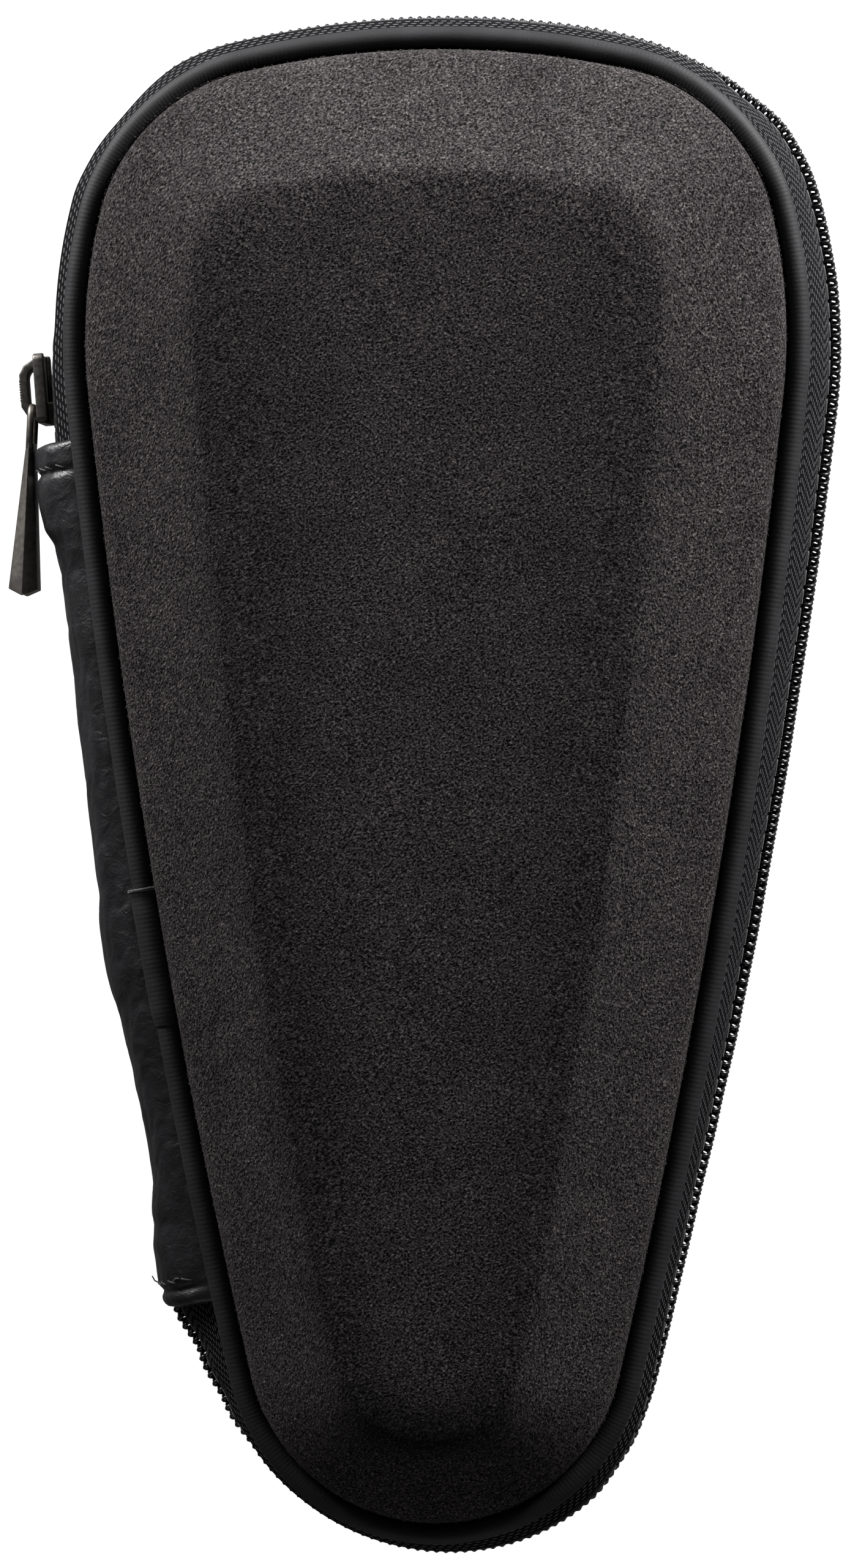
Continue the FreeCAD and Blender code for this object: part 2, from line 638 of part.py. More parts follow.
def sliderBody():
    body = newBody("slider_body")
    nose = "Sizes.slider_length / 2"
    heel = f"({nose} - Sizes.post_length)"
    post = polygonSketch(body, "PostPlan", "XY_Plane", [
        (f"-1 * {PLATE_FACE}", heel), (PLATE_FACE, heel), (PLATE_FACE, nose), (f"-1 * {PLATE_FACE}", nose)])
    pad(body, "Post", post, "Sizes.post_height", midplane=True)
    edge = "Sizes.slider_width / 2"
    rail = "(Sizes.bead_edge + Sizes.slider_play)"
    slot = "Sizes.tape_slot / 2"
    for name, sign in (("Outer", "1"), ("Inner", "-1")):
        section = [(slot, f"-1 * {edge}"), (PLATE_FACE, f"-1 * {edge}"), (PLATE_FACE, edge), (slot, edge),
                   (slot, rail), (CHANNEL, rail), (CHANNEL, f"-1 * {rail}"), (slot, f"-1 * {rail}")]
        corners = [(f"{sign} * {x}", z) for x, z in section]
        sketch = polygonSketch(body, f"{name}Section", "XZ_Plane", corners)
        pad(body, f"{name}Plate", sketch, "Sizes.slider_length", midplane=True)
    long, wide = size("slider_length") / 2, size("slider_width") / 2
    dressEdges(body, "Fillet", "PlateCorners", "Radius", "Sizes.slider_corner",
               lambda middle, way: abs(way.x) > 1 - NEAR and abs(abs(middle.y) - long) < NEAR
               and abs(abs(middle.z) - wide) < NEAR)
    placeOnChain(body, "0", "0", TURN)


def sliderBail():
    body = newBody("slider_bail")
    reach = "Sizes.bail_length / 2"
    top = f"({PLATE_FACE} + Sizes.bail_rise)"
    inside = f"({reach} - Sizes.bail_strap)"
    outer = polygonSketch(body, "BailPlan", "XY_Plane", [
        (PLATE_FACE, f"-1 * {reach}"), (top, f"-1 * {reach}"), (top, reach), (PLATE_FACE, reach)])
    pad(body, "Bail", outer, "Sizes.bail_width", midplane=True)
    window = polygonSketch(body, "WindowPlan", "XY_Plane", [
        ("0", f"-1 * {inside}"), (f"{top} - Sizes.bail_strap", f"-1 * {inside}"),
        (f"{top} - Sizes.bail_strap", inside), ("0", inside)])
    pocketThrough(body, "Window", window)
    high, long = value(top), value(reach)
    dressEdges(body, "Fillet", "BailCorners", "Radius", "Sizes.bail_corner",
               lambda middle, way: abs(way.z) > 1 - NEAR and abs(middle.x - high) < NEAR
               and abs(abs(middle.y) - long) < NEAR)
    placeOnChain(body, "0", "0", TURN)


PIN_INSET = "(Sizes.bail_strap + Sizes.pin_play + Sizes.puller_thin / 2)"
PIN_OUT = f"({PLATE_FACE} + Sizes.bail_rise - {PIN_INSET})"
PIN_ALONG = f"(Sizes.bail_length / 2 - {PIN_INSET})"


def puller():
    body = newBody("zip_puller")
    thin = "Sizes.puller_thin / 2"
    thick = "Sizes.puller_thick / 2"
    neck = f"({thin} + Sizes.eye_length + Sizes.puller_thin)"
    plan = polygonSketch(body, "PullerPlan", "XY_Plane", [
        (f"-1 * {thin}", f"-1 * {thin}"), (thin, f"-1 * {thin}"), (thin, neck),
        (thick, "Sizes.puller_length"), (f"-1 * {thick}", "Sizes.puller_length - Sizes.puller_edge"),
        (f"-1 * {thin}", neck)])
    pad(body, "Bar", plan, "Sizes.puller_width", midplane=True)
    side = "(Sizes.bail_width / 2 + Sizes.pin_play)"
    eye = polygonSketch(body, "EyeFace", "YZ_Plane", [
        (thin, f"-1 * {side}"), (f"{thin} + Sizes.eye_length", f"-1 * {side}"),
        (f"{thin} + Sizes.eye_length", side), (thin, side)])
    pocketThrough(body, "Eye", eye)
    wide, half = size("puller_width") / 2, size("puller_length") / 2
    dressEdges(body, "Chamfer", "LongEdges", "Size", "Sizes.puller_edge",
               lambda middle, way: abs(way.z) < NEAR and middle.x > 0 and middle.y > half
               and abs(abs(middle.z) - wide) < NEAR)
    placeOnChain(body, PIN_OUT, PIN_ALONG, f"{TURN} - Sizes.puller_lean")


sliderBody()
sliderBail()
puller()


# Pen holder in the base: a padded board with one elastic band sewn down into loops

PAD_FOOT = f"({WALL} + Sizes.glue_line)"
BAND_FOOT = f"({PAD_FOOT} + Sizes.pad_thickness)"


def penPad():
    body = newBody("pen_pad")
    sketch = outlineSketch(body, "PadPlan", "1", "-1 * Sizes.pad_margin", PAD_FOOT)
    pad(body, "Board", sketch, "Sizes.pad_thickness")


def primitive(kind, name, places):
    shape = doc.addObject(f"Part::{kind}", name)
    for prop, text in places.items():
        shape.setExpression(prop, text)
    return shape


def penBand():
    outerRadius = "(Sizes.loop_radius + Sizes.band_thickness)"
    spread = "(Sizes.loop_count - 1) * Sizes.loop_pitch / 2"
    front = "Sizes.band_at - Sizes.band_width / 2"
    reach = f"({spread} + {outerRadius} + Sizes.band_thickness)"
    solids, bores = [], []
    for i in range(int(size("loop_count"))):
        middle = f"{i} * Sizes.loop_pitch - {spread}"
        for group, name, radius in ((solids, "Loop", outerRadius), (bores, "LoopBore", "Sizes.loop_radius")):
            tube = primitive("Cylinder", f"{name}{i}", {
                "Radius": radius, "Height": "Sizes.band_width", "Placement.Base.x": middle,
                "Placement.Base.y": f"{front} + Sizes.band_width", "Placement.Base.z": BAND_FOOT})
            tube.Placement.Rotation = FreeCAD.Rotation(V(1, 0, 0), 90)
            group.append(tube)
    solids.append(primitive("Box", "BandFeet", {
        "Length": f"2 * {reach}", "Width": "Sizes.band_width", "Height": "Sizes.band_thickness",
        "Placement.Base.x": f"-1 * {reach}", "Placement.Base.y": front, "Placement.Base.z": BAND_FOOT}))
    bores.append(primitive("Box", "BelowBand", {
        "Length": f"2 * {reach}", "Width": "Sizes.band_width", "Height": f"2 * {outerRadius}",
        "Placement.Base.x": f"-1 * {reach}", "Placement.Base.y": front,
        "Placement.Base.z": f"{BAND_FOOT} - 2 * {outerRadius}"}))
    whole = doc.addObject("Part::MultiFuse", "BandBlank")
    whole.Shapes = solids
    hollow = doc.addObject("Part::MultiFuse", "BandBores")
    hollow.Shapes = bores
    band = doc.addObject("Part::Cut", "PenBand")
    band.Base = whole
    band.Tool = hollow
    keep(band, "pen_band")


penPad()
penBand()

doc.recompute()
for obj in doc.Objects:
    if "Invalid" in obj.State or "Error" in obj.State:
        raise RuntimeError(f"{obj.Name} failed: {obj.State}")
for obj in subParts:
    if obj.Shape.isNull() or not obj.Shape.isValid():
        raise RuntimeError(f"{obj.Label} has no valid shape")

os.makedirs("parts", exist_ok=True)
for obj in subParts:
    obj.Shape.exportStep(os.path.join("parts", f"{obj.Label}.step"))
    print(obj.Label, len(obj.Shape.Solids), "solids", round(obj.Shape.Volume, 1), "mm3")
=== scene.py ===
import math
import random

import bmesh
import bpy
from mathutils import Matrix, Vector, noise


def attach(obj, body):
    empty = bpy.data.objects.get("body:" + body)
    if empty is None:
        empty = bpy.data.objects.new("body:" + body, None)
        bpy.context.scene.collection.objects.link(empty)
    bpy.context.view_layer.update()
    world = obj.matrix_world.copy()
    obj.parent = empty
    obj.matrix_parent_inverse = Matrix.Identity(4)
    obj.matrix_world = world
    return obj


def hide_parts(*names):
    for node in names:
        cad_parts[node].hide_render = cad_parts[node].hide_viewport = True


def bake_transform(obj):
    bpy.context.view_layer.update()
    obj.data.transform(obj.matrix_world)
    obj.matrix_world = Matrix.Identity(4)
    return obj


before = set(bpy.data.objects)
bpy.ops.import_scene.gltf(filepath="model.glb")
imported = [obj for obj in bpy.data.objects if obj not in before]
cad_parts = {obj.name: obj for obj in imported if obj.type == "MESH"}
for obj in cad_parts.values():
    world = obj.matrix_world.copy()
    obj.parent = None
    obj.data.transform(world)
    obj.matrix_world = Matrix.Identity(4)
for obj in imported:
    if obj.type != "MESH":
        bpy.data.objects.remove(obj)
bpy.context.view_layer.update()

random.seed(4)
mm = 0.001
print("frame loaded:", len(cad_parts), "nodes")

# Plan of the case in mm: rim and raised deck are rings of tangent arcs, the same as in the solids
caseForm = {
    "rim": {"top": 99.5, "tip": 100.3, "half": 48, "widest": 60,
            "crown": 122, "corner": 25, "shoulder": 73.5, "flank": 1100, "tipRound": 26},
    "deck": {"top": 81.5, "tip": 88, "half": 31, "widest": 64,
             "crown": 110, "corner": 9, "shoulder": 60, "flank": 1000, "tipRound": 12.5},
    "parting": 27,          # height of the zip's middle
    "pipingRise": 11,       # parting plane to the middle of a piping
    "chainOut": 5.3,        # rim to the middle of the zip chain
    "stripTop": 46,         # ends of the leather hinge strip along the case
    "stripBottom": -71,
    "bend": 7.5,            # half the height over which the strip bends
}


# Plan geometry

def circlesMeet(a, radiusA, b, radiusB):
    dx, dy = b[0] - a[0], b[1] - a[1]
    apart = math.hypot(dx, dy)
    along = (radiusA ** 2 - radiusB ** 2 + apart ** 2) / (2 * apart)
    across = math.sqrt(radiusA ** 2 - along ** 2)
    x, y = a[0] + along * dx / apart, a[1] + along * dy / apart
    return [(x - side * across * dy / apart, y + side * across * dx / apart) for side in (1, -1)]


def outlineArcs(share, grow):
    # ten arcs anticlockwise from the middle of the wide end, as (centre, radius, start, end)
    rim, deck = caseForm["rim"], caseForm["deck"]
    form = {key: rim[key] + (deck[key] - rim[key]) * share for key in rim}
    names = ("crown", "corner", "shoulder", "flank", "tipRound")
    radii = [form[key] + grow for key in names]
    crown = (0.0, form["top"] - form["crown"])
    tip = (0.0, form["tipRound"] - form["tip"])
    shoulder = (form["shoulder"] - form["half"], form["widest"])
    corner = min(circlesMeet(shoulder, radii[2] - radii[1], crown, radii[0] - radii[1]))
    flank = max(circlesMeet(shoulder, radii[3] - radii[2], tip, radii[3] - radii[4]))

    def toward(a, b):
        return math.atan2(b[1] - a[1], b[0] - a[0]) % (2 * math.pi)

    turns = [math.pi / 2, toward(crown, corner), toward(shoulder, corner),
             toward(flank, shoulder), toward(flank, tip), 1.5 * math.pi]
    centres = [crown, corner, shoulder, flank, tip]
    left = list(zip(centres, radii, turns, turns[1:]))
    right = [((-c[0], c[1]), r, 3 * math.pi - e, 3 * math.pi - s) for c, r, s, e in reversed(left)]
    return left + right


chainArcs = outlineArcs(0, caseForm["chainOut"])
chainLengths = [radius * (end - start) for centre, radius, start, end in chainArcs]
wholeChain = sum(chainLengths)
shoulderArc, flankArc = 2, 3


def chainAt(y, arc):
    # length along the chain where an arc on the left side is at that y
    (cx, cy), radius, start, end = chainArcs[arc]
    turn = math.pi - math.asin((y - cy) / radius)
    return sum(chainLengths[:arc]) + radius * (turn - start)


def stationAt(length):
    length = length % wholeChain
    for arc, whole in enumerate(chainLengths):
        if length <= whole:
            break
        length -= whole
    return arc, length / whole


def stationsBetween(first, last, count):
    return [stationAt(first + (last - first) * i / (count - 1)) for i in range(count)]


def stationsRound(count):
    return [stationAt(wholeChain * i / count) for i in range(count)]


def placeOn(arcs, station, height):
    arc, part = station
    (cx, cy), radius, start, end = arcs[arc]
    turn = start + (end - start) * part
    return Vector((cx + radius * math.cos(turn), cy + radius * math.sin(turn), height)) * mm


def ringPlaces(stations, share, grow, height):
    arcs = outlineArcs(share, grow)
    return [placeOn(arcs, station, height) for station in stations]


def outwardAt(station):
    arc, part = station
    centre, radius, start, end = chainArcs[arc]
    turn = start + (end - start) * part
    return Vector((math.cos(turn), math.sin(turn), 0))


def lengthAt(y, right=False):
    # length along the chain nearest to that y on the left side, or on the right one
    lengths = [wholeChain / 2 * i / 2000 for i in range(2001)]
    nearest = min(lengths, key=lambda length: abs(placeOn(chainArcs, stationAt(length), 0).y / mm - y))
    return wholeChain - nearest if right else nearest


def readOff(table, place):
    # value between the entries of a table of (place, value), eased from one to the next
    table = sorted(table)
    if place <= table[0][0]:
        return table[0][1]
    for (a, low), (b, high) in zip(table, table[1:]):
        if place <= b:
            part = (place - a) / (b - a)
            return low + (high - low) * part * part * (3 - 2 * part)
    return table[-1][1]


def softened(value, power):
    # a sine or cosine pushed towards a square section, with its sign kept
    return math.copysign(abs(value) ** power, value)


def foldIn(ring, fold, spine):
    # draws a ring in towards the case's middle line, which runs between the spine's two places
    low, high = spine
    places = []
    for place in ring:
        middle = min(max(place.y, low * mm), high * mm)
        places.append(Vector((place.x * fold, middle + (place.y - middle) * fold, place.z)))
    return places


def cornerShare(station):
    # one at the middle of an upper corner, none along the sides and ends
    out = outwardAt(station)
    return (2 * abs(out.x) * max(0, out.y)) ** 2


stripFirst = chainAt(caseForm["stripTop"], flankArc)
stripLast = chainAt(caseForm["stripBottom"], flankArc)


# Modelling helpers

def startFresh():
    if bpy.context.object and bpy.context.object.mode != "OBJECT":
        bpy.ops.object.mode_set(mode="OBJECT")
    bpy.ops.object.select_all(action="DESELECT")


def workOn(obj):
    startFresh()
    obj.select_set(True)
    bpy.context.view_layer.objects.active = obj


def loftRings(name, rings, closed=True, tube=False, attributes=None):
    # a circle takes the first ring's shape and is extruded from ring to ring
    startFresh()
    count = len(rings[0])
    bpy.ops.mesh.primitive_circle_add(vertices=count, radius=0.1)
    obj = bpy.context.object
    obj.name = obj.data.name = name
    bpy.ops.object.mode_set(mode="EDIT")
    bpy.ops.mesh.select_mode(type="VERT")
    bpy.ops.mesh.select_all(action="SELECT")
    mesh = bmesh.from_edit_mesh(obj.data)
    station = mesh.verts.layers.int.new("station")
    ringOf = mesh.verts.layers.int.new("ringOf")
    for i, vert in enumerate(mesh.verts):
        vert[station] = i
        vert.co = rings[0][i]
    if not closed:
        joint = [edge for edge in mesh.edges if {v[station] for v in edge.verts} == {0, count - 1}]
        bmesh.ops.delete(mesh, geom=joint, context="EDGES")
    bmesh.update_edit_mesh(obj.data)
    for number, ring in enumerate(rings[1:], 1):
        bpy.ops.mesh.extrude_region()
        mesh = bmesh.from_edit_mesh(obj.data)
        station = mesh.verts.layers.int["station"]
        ringOf = mesh.verts.layers.int["ringOf"]
        for vert in mesh.verts:
            if vert.select:
                vert.co = ring[vert[station]]
                vert[ringOf] = number
        bmesh.update_edit_mesh(obj.data)
    if tube:
        bpy.ops.mesh.select_all(action="DESELECT")
        mesh = bmesh.from_edit_mesh(obj.data)
        ringOf = mesh.verts.layers.int["ringOf"]
        ends = {0, len(rings) - 1}
        for edge in mesh.edges:
            numbers = {v[ringOf] for v in edge.verts}
            if len(numbers) == 1 and numbers <= ends:
                edge.select_set(True)
        bmesh.update_edit_mesh(obj.data)
        bpy.ops.mesh.bridge_edge_loops()
    bpy.ops.mesh.select_all(action="SELECT")
    bpy.ops.mesh.remove_doubles(threshold=1e-6)
    bpy.ops.mesh.normals_make_consistent(inside=False)
    bpy.ops.object.mode_set(mode="OBJECT")
    if attributes:
        stations = [value.value for value in obj.data.attributes["station"].data]
        numbers = [value.value for value in obj.data.attributes["ringOf"].data]
        for layer, values in (("along", [attributes[0][i] for i in stations]),
                              ("across", [attributes[1][i] for i in numbers])):
            obj.data.attributes.new(layer, "FLOAT", "POINT")
            obj.data.attributes[layer].data.foreach_set("value", values)
    for layer in ("station", "ringOf"):
        obj.data.attributes.remove(obj.data.attributes[layer])
    bpy.ops.object.shade_smooth()
    return obj


def closeEnds(obj):
    workOn(obj)
    bpy.ops.object.mode_set(mode="EDIT")
    bpy.ops.mesh.select_all(action="SELECT")
    bpy.ops.mesh.fill_holes(sides=0)
    bpy.ops.object.mode_set(mode="OBJECT")


def applyModifier(obj, kind, **settings):
    workOn(obj)
    modifier = obj.modifiers.new(kind.title(), kind)
    for key, value in settings.items():
        setattr(modifier, key, value)
    bpy.ops.object.modifier_apply(modifier=modifier.name)


def tubeAlong(name, places, radius, sides=6, up=Vector((0, 0, 1))):
    # a round tube through the places, with rounded ends; radius in metres or one for each place
    radii = radius if isinstance(radius, list) else [radius] * len(places)
    points = list(places)
    way = (points[1] - points[0]).normalized()
    back = (points[-1] - points[-2]).normalized()
    for reach, share in ((0.6, 0.55), (0.3, 0.0)):
        points = [points[0] - way * radii[0] * reach] + points + [points[-1] + back * radii[-1] * reach]
        radii = [radii[0] * share] + radii + [radii[-1] * share]
    rings = []
    for i, place in enumerate(points):
        way = (points[min(i + 1, len(points) - 1)] - points[max(i - 1, 0)]).normalized()
        side = way.cross(up).normalized()
        top = side.cross(way).normalized()
        turns = [2 * math.pi * k / sides for k in range(sides)]
        rings.append([place + side * (radii[i] * math.cos(t)) + top * (radii[i] * math.sin(t))
                      for t in turns])
    return loftRings(name, rings)


def lineCurve(name, places):
    # an open line of points as a curve that other shapes can follow
    startFresh()
    bpy.ops.mesh.primitive_circle_add(vertices=len(places), radius=0.1)
    obj = bpy.context.object
    obj.name = name
    for vert, place in zip(obj.data.vertices, places):
        vert.co = place
    bpy.ops.object.mode_set(mode="EDIT")
    mesh = bmesh.from_edit_mesh(obj.data)
    mesh.verts.ensure_lookup_table()
    joint = [edge for edge in mesh.edges if {v.index for v in edge.verts} == {0, len(places) - 1}]
    bmesh.ops.delete(mesh, geom=joint, context="EDGES")
    bmesh.update_edit_mesh(obj.data)
    bpy.ops.object.mode_set(mode="OBJECT")
    bpy.ops.object.convert(target="CURVE")
    obj = bpy.context.object
    obj.data.twist_mode = "Z_UP"
    return obj


def lineLength(places):
    return sum((b - a).length for a, b in zip(places, places[1:]))


def repeatAlong(obj, places, pitch, count):
    # copies a shape in a row along X and bends the row to the line
    row = lineCurve("row", places)
    if (row.data.splines[0].points[0].co.xyz - places[0]).length > 1e-5:
        workOn(row)
        bpy.ops.object.mode_set(mode="EDIT")
        bpy.ops.curve.select_all(action="SELECT")
        bpy.ops.curve.switch_direction()
        bpy.ops.object.mode_set(mode="OBJECT")
    applyModifier(obj, "ARRAY", count=count, use_relative_offset=False, use_constant_offset=True,
                  constant_offset_displace=(pitch, 0, 0), use_merge_vertices=True, merge_threshold=2e-6)
    applyModifier(obj, "CURVE", object=row, deform_axis="POS_X")
    bpy.data.objects.remove(row)
    workOn(obj)
    bpy.ops.object.mode_set(mode="EDIT")
    bpy.ops.mesh.select_all(action="SELECT")
    bpy.ops.mesh.normals_make_consistent(inside=False)
    bpy.ops.object.mode_set(mode="OBJECT")
    return obj


stitchSteps = (-1, -0.5, 0, 0.5, 1)


def stitchPlaces(length, rise):
    # a stitch along X that bows up in its middle, sizes in mm
    half = length / 2
    return [Vector((half * x + half, 0, rise * (1 - x * x))) * mm for x in stitchSteps]


def joinPieces(name, pieces):
    startFresh()
    for piece in pieces:
        piece.select_set(True)
    bpy.context.view_layer.objects.active = pieces[0]
    bpy.ops.object.join()
    pieces[0].name = pieces[0].data.name = name
    return pieces[0]


def dress(obj, material, body, slot, *nodes):
    # body is one name, or the two bodies that a bending piece spans, lower one first
    obj.data.materials.clear()
    obj.data.materials.append(material)
    if isinstance(body, str):
        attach(obj, body)
    else:
        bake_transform(obj)
    if nodes:
        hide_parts(*nodes)


# Materials

def hexColor(text):
    parts = [int(text[i:i + 2], 16) / 255 for i in (1, 3, 5)]
    return tuple(p / 12.92 if p <= 0.04045 else ((p + 0.055) / 1.055) ** 2.4 for p in parts) + (1.0,)


def addNode(tree, kind, settings=None, inputs=None):
    node = tree.nodes.new("ShaderNode" + kind)
    for key, value in (settings or {}).items():
        setattr(node, key, value)
    for key, value in (inputs or {}).items():
        if isinstance(value, bpy.types.NodeSocket):
            tree.links.new(value, node.inputs[key])
        else:
            node.inputs[key].default_value = value
    return node


def newMaterial(name, **sockets):
    material = bpy.data.materials.new(name)
    material.use_nodes = True
    tree = material.node_tree
    shader = tree.nodes["Principled BSDF"]
    for key, value in sockets.items():
        shader.inputs[key.replace("_", " ")].default_value = value
    return material, tree, shader


def rampColors(node, *stops):
    ramp = node.color_ramp
    while len(ramp.elements) < len(stops):
        ramp.elements.new(0.5)
    for element, (place, color) in zip(ramp.elements, stops):
        element.position = place
        element.color = hexColor(color)


def makeSuede(name, deep, middle, pale, lint):
    # microsuede: a short dense nap stroked aslant, in tufts about 0.35 mm wide with pits between them
    material, tree, shader = newMaterial(name, Roughness=0.95, Sheen_Weight=0.12, Sheen_Roughness=0.5)
    shader.inputs["Sheen Tint"].default_value = hexColor("#8C8683")
    shader.inputs["Specular IOR Level"].default_value = 0.08
    place = addNode(tree, "TexCoord").outputs["Object"]
    strokes = addNode(tree, "Mapping", {"vector_type": "TEXTURE"},
                      {"Vector": place, "Rotation": (0, 0, 0.9), "Scale": (1, 0.8, 1)})
    nap = addNode(tree, "TexNoise", {},
                  {"Vector": strokes.outputs["Vector"], "Scale": 1 / (0.35 * mm), "Detail": 1.0,
                   "Roughness": 0.5, "Distortion": 0.5})
    clumps = addNode(tree, "TexNoise", {}, {"Vector": place, "Scale": 1 / (0.9 * mm), "Detail": 2.0})
    stroked = addNode(tree, "TexNoise", {}, {"Vector": place, "Scale": 1 / (9 * mm), "Detail": 2.0})
    tufts = addNode(tree, "Math", {"operation": "MULTIPLY_ADD"},
                    {0: clumps.outputs["Fac"], 1: 0.08, 2: nap.outputs["Fac"]})
    mixed = addNode(tree, "Math", {"operation": "MULTIPLY_ADD"},
                    {0: stroked.outputs["Fac"], 1: 0.1, 2: tufts.outputs[0]})
    shade = addNode(tree, "ValToRGB", {}, {"Fac": mixed.outputs[0]})
    rampColors(shade, (0.455, deep), (0.545, middle), (0.695, pale), (0.96, lint))
    # painted shade: the colour is scaled down to 0.35 times where the across and along attributes are both
    # high, at the deck's edge
    edge = addNode(tree, "Attribute", {"attribute_name": "across"}).outputs["Fac"]
    sides = addNode(tree, "Attribute", {"attribute_name": "along"}).outputs["Fac"]
    paintedShade = addNode(tree, "Math", {"operation": "MULTIPLY"}, {0: edge, 1: sides})
    # flat is the painted shade's factor on the colour
    flat = addNode(tree, "MapRange", {}, {"Value": paintedShade.outputs[0], "To Min": 1.0, "To Max": 0.35})
    color = addNode(tree, "VectorMath", {"operation": "SCALE"},
                    {0: shade.outputs["Color"], "Scale": flat.outputs["Result"]})
    tree.links.new(color.outputs["Vector"], shader.inputs["Base Color"])
    bump = addNode(tree, "Bump", {}, {"Height": tufts.outputs[0], "Strength": 1.0, "Distance": 0.36 * mm})
    tree.links.new(bump.outputs["Normal"], shader.inputs["Normal"])
    return material


def makeWrap(name):
    # polyurethane wrap of the piping: matte, faintly bluish, finely pebbled by its embossing
    material, tree, shader = newMaterial(name, Roughness=0.66, Specular_IOR_Level=0.33)
    place = addNode(tree, "TexCoord").outputs["Object"]
    pebble = addNode(tree, "TexNoise", {}, {"Vector": place, "Scale": 1 / (0.35 * mm), "Detail": 2.0})
    rubbed = addNode(tree, "TexNoise", {}, {"Vector": place, "Scale": 1 / (5 * mm), "Detail": 2.0})
    shade = addNode(tree, "ValToRGB", {}, {"Fac": rubbed.outputs["Fac"]})
    rampColors(shade, (0.3, "#18181A"), (0.55, "#1F1F21"), (0.8, "#27272A"))
    tree.links.new(shade.outputs["Color"], shader.inputs["Base Color"])
    bump = addNode(tree, "Bump", {},
                   {"Height": pebble.outputs["Fac"], "Strength": 0.35, "Distance": 0.08 * mm})
    tree.links.new(bump.outputs["Normal"], shader.inputs["Normal"])
    return material


def makeTape(name):
    # woven polyester zip tape: fine dashes of yarn side by side, stepped into a herringbone
    column, dash, step, turnBack = 0.27 * mm, 1.2 * mm, 0.34, 7
    material, tree, shader = newMaterial(name, Roughness=0.8, Specular_IOR_Level=0.12)
    along = addNode(tree, "Attribute", {"attribute_name": "along"}).outputs["Fac"]
    across = addNode(tree, "Attribute", {"attribute_name": "across"}).outputs["Fac"]
    columns = addNode(tree, "Math", {"operation": "DIVIDE"}, {0: across, 1: column})
    zigzag = addNode(tree, "Math", {"operation": "PINGPONG"}, {0: columns.outputs[0], 1: turnBack})
    dashes = addNode(tree, "Math", {"operation": "DIVIDE"}, {0: along, 1: dash})
    stepped = addNode(tree, "Math", {"operation": "MULTIPLY_ADD"},
                      {0: zigzag.outputs[0], 1: step, 2: dashes.outputs[0]})
    endWay = addNode(tree, "Math", {"operation": "PINGPONG"}, {0: stepped.outputs[0], 1: 0.5})
    sideWay = addNode(tree, "Math", {"operation": "PINGPONG"}, {0: columns.outputs[0], 1: 0.5})
    ends = addNode(tree, "MapRange", {"interpolation_type": "SMOOTHSTEP"},
                   {"Value": endWay.outputs[0], "From Min": 0.1, "From Max": 0.26})
    sides = addNode(tree, "MapRange", {"interpolation_type": "SMOOTHSTEP"},
                    {"Value": sideWay.outputs[0], "From Min": 0.1, "From Max": 0.42})
    height = addNode(tree, "Math", {"operation": "MULTIPLY"},
                     {0: ends.outputs["Result"], 1: sides.outputs["Result"]})
    # painted highlight and shade: the colour follows the weave's height, lighter on the yarn dashes and
    # darker between them
    shade = addNode(tree, "ValToRGB", {}, {"Fac": height.outputs[0]})
    rampColors(shade, (0.25, "#040404"), (0.65, "#161618"), (1.0, "#5E5E62"))
    tree.links.new(shade.outputs["Color"], shader.inputs["Base Color"])
    bump = addNode(tree, "Bump", {}, {"Height": height.outputs[0], "Strength": 0.8, "Distance": 0.12 * mm})
    tree.links.new(bump.outputs["Normal"], shader.inputs["Normal"])
    return material


def makeNylon(name):
    # black nylon monofilament: smooth and bright, with faint drawing lines
    material, tree, shader = newMaterial(name, Roughness=0.28)
    place = addNode(tree, "TexCoord").outputs["Object"]
    drawn = addNode(tree, "TexNoise", {}, {"Vector": place, "Scale": 1 / (1.1 * mm), "Detail": 2.0})
    shade = addNode(tree, "ValToRGB", {}, {"Fac": drawn.outputs["Fac"]})
    rampColors(shade, (0.3, "#0F0F11"), (0.7, "#222225"))
    tree.links.new(shade.outputs["Color"], shader.inputs["Base Color"])
    gloss = addNode(tree, "MapRange", {}, {"Value": drawn.outputs["Fac"], "To Min": 0.2, "To Max": 0.42})
    tree.links.new(gloss.outputs["Result"], shader.inputs["Roughness"])
    return material


def makeLeather(name):
    # coated leatherette: soft wrinkles about 2.6 mm apart over a fine pebble, shinier where it is stretched
    material, tree, shader = newMaterial(name, Specular_IOR_Level=0.6)
    place = addNode(tree, "TexCoord").outputs["Object"]
    folds = addNode(tree, "TexNoise", {},
                    {"Vector": place, "Scale": 1 / (2.6 * mm), "Detail": 3.0, "Roughness": 0.55,
                     "Distortion": 0.5})
    crease = addNode(tree, "Math", {"operation": "PINGPONG"}, {0: folds.outputs["Fac"], 1: 0.3})
    pebble = addNode(tree, "TexNoise", {}, {"Vector": place, "Scale": 1 / (0.3 * mm), "Detail": 2.0})
    height = addNode(tree, "Math", {"operation": "MULTIPLY_ADD"},
                     {0: pebble.outputs["Fac"], 1: 0.13, 2: crease.outputs[0]})
    cloud = addNode(tree, "TexNoise", {}, {"Vector": place, "Scale": 1 / (4 * mm), "Detail": 4.0})
    shade = addNode(tree, "ValToRGB", {}, {"Fac": cloud.outputs["Fac"]})
    rampColors(shade, (0.3, "#0F0F11"), (0.55, "#18181B"), (0.8, "#252529"))
    tree.links.new(shade.outputs["Color"], shader.inputs["Base Color"])
    gloss = addNode(tree, "MapRange", {}, {"Value": cloud.outputs["Fac"], "To Min": 0.36, "To Max": 0.52})
    tree.links.new(gloss.outputs["Result"], shader.inputs["Roughness"])
    bump = addNode(tree, "Bump", {}, {"Height": height.outputs[0], "Strength": 0.8, "Distance": 0.4 * mm})
    tree.links.new(bump.outputs["Normal"], shader.inputs["Normal"])
    return material


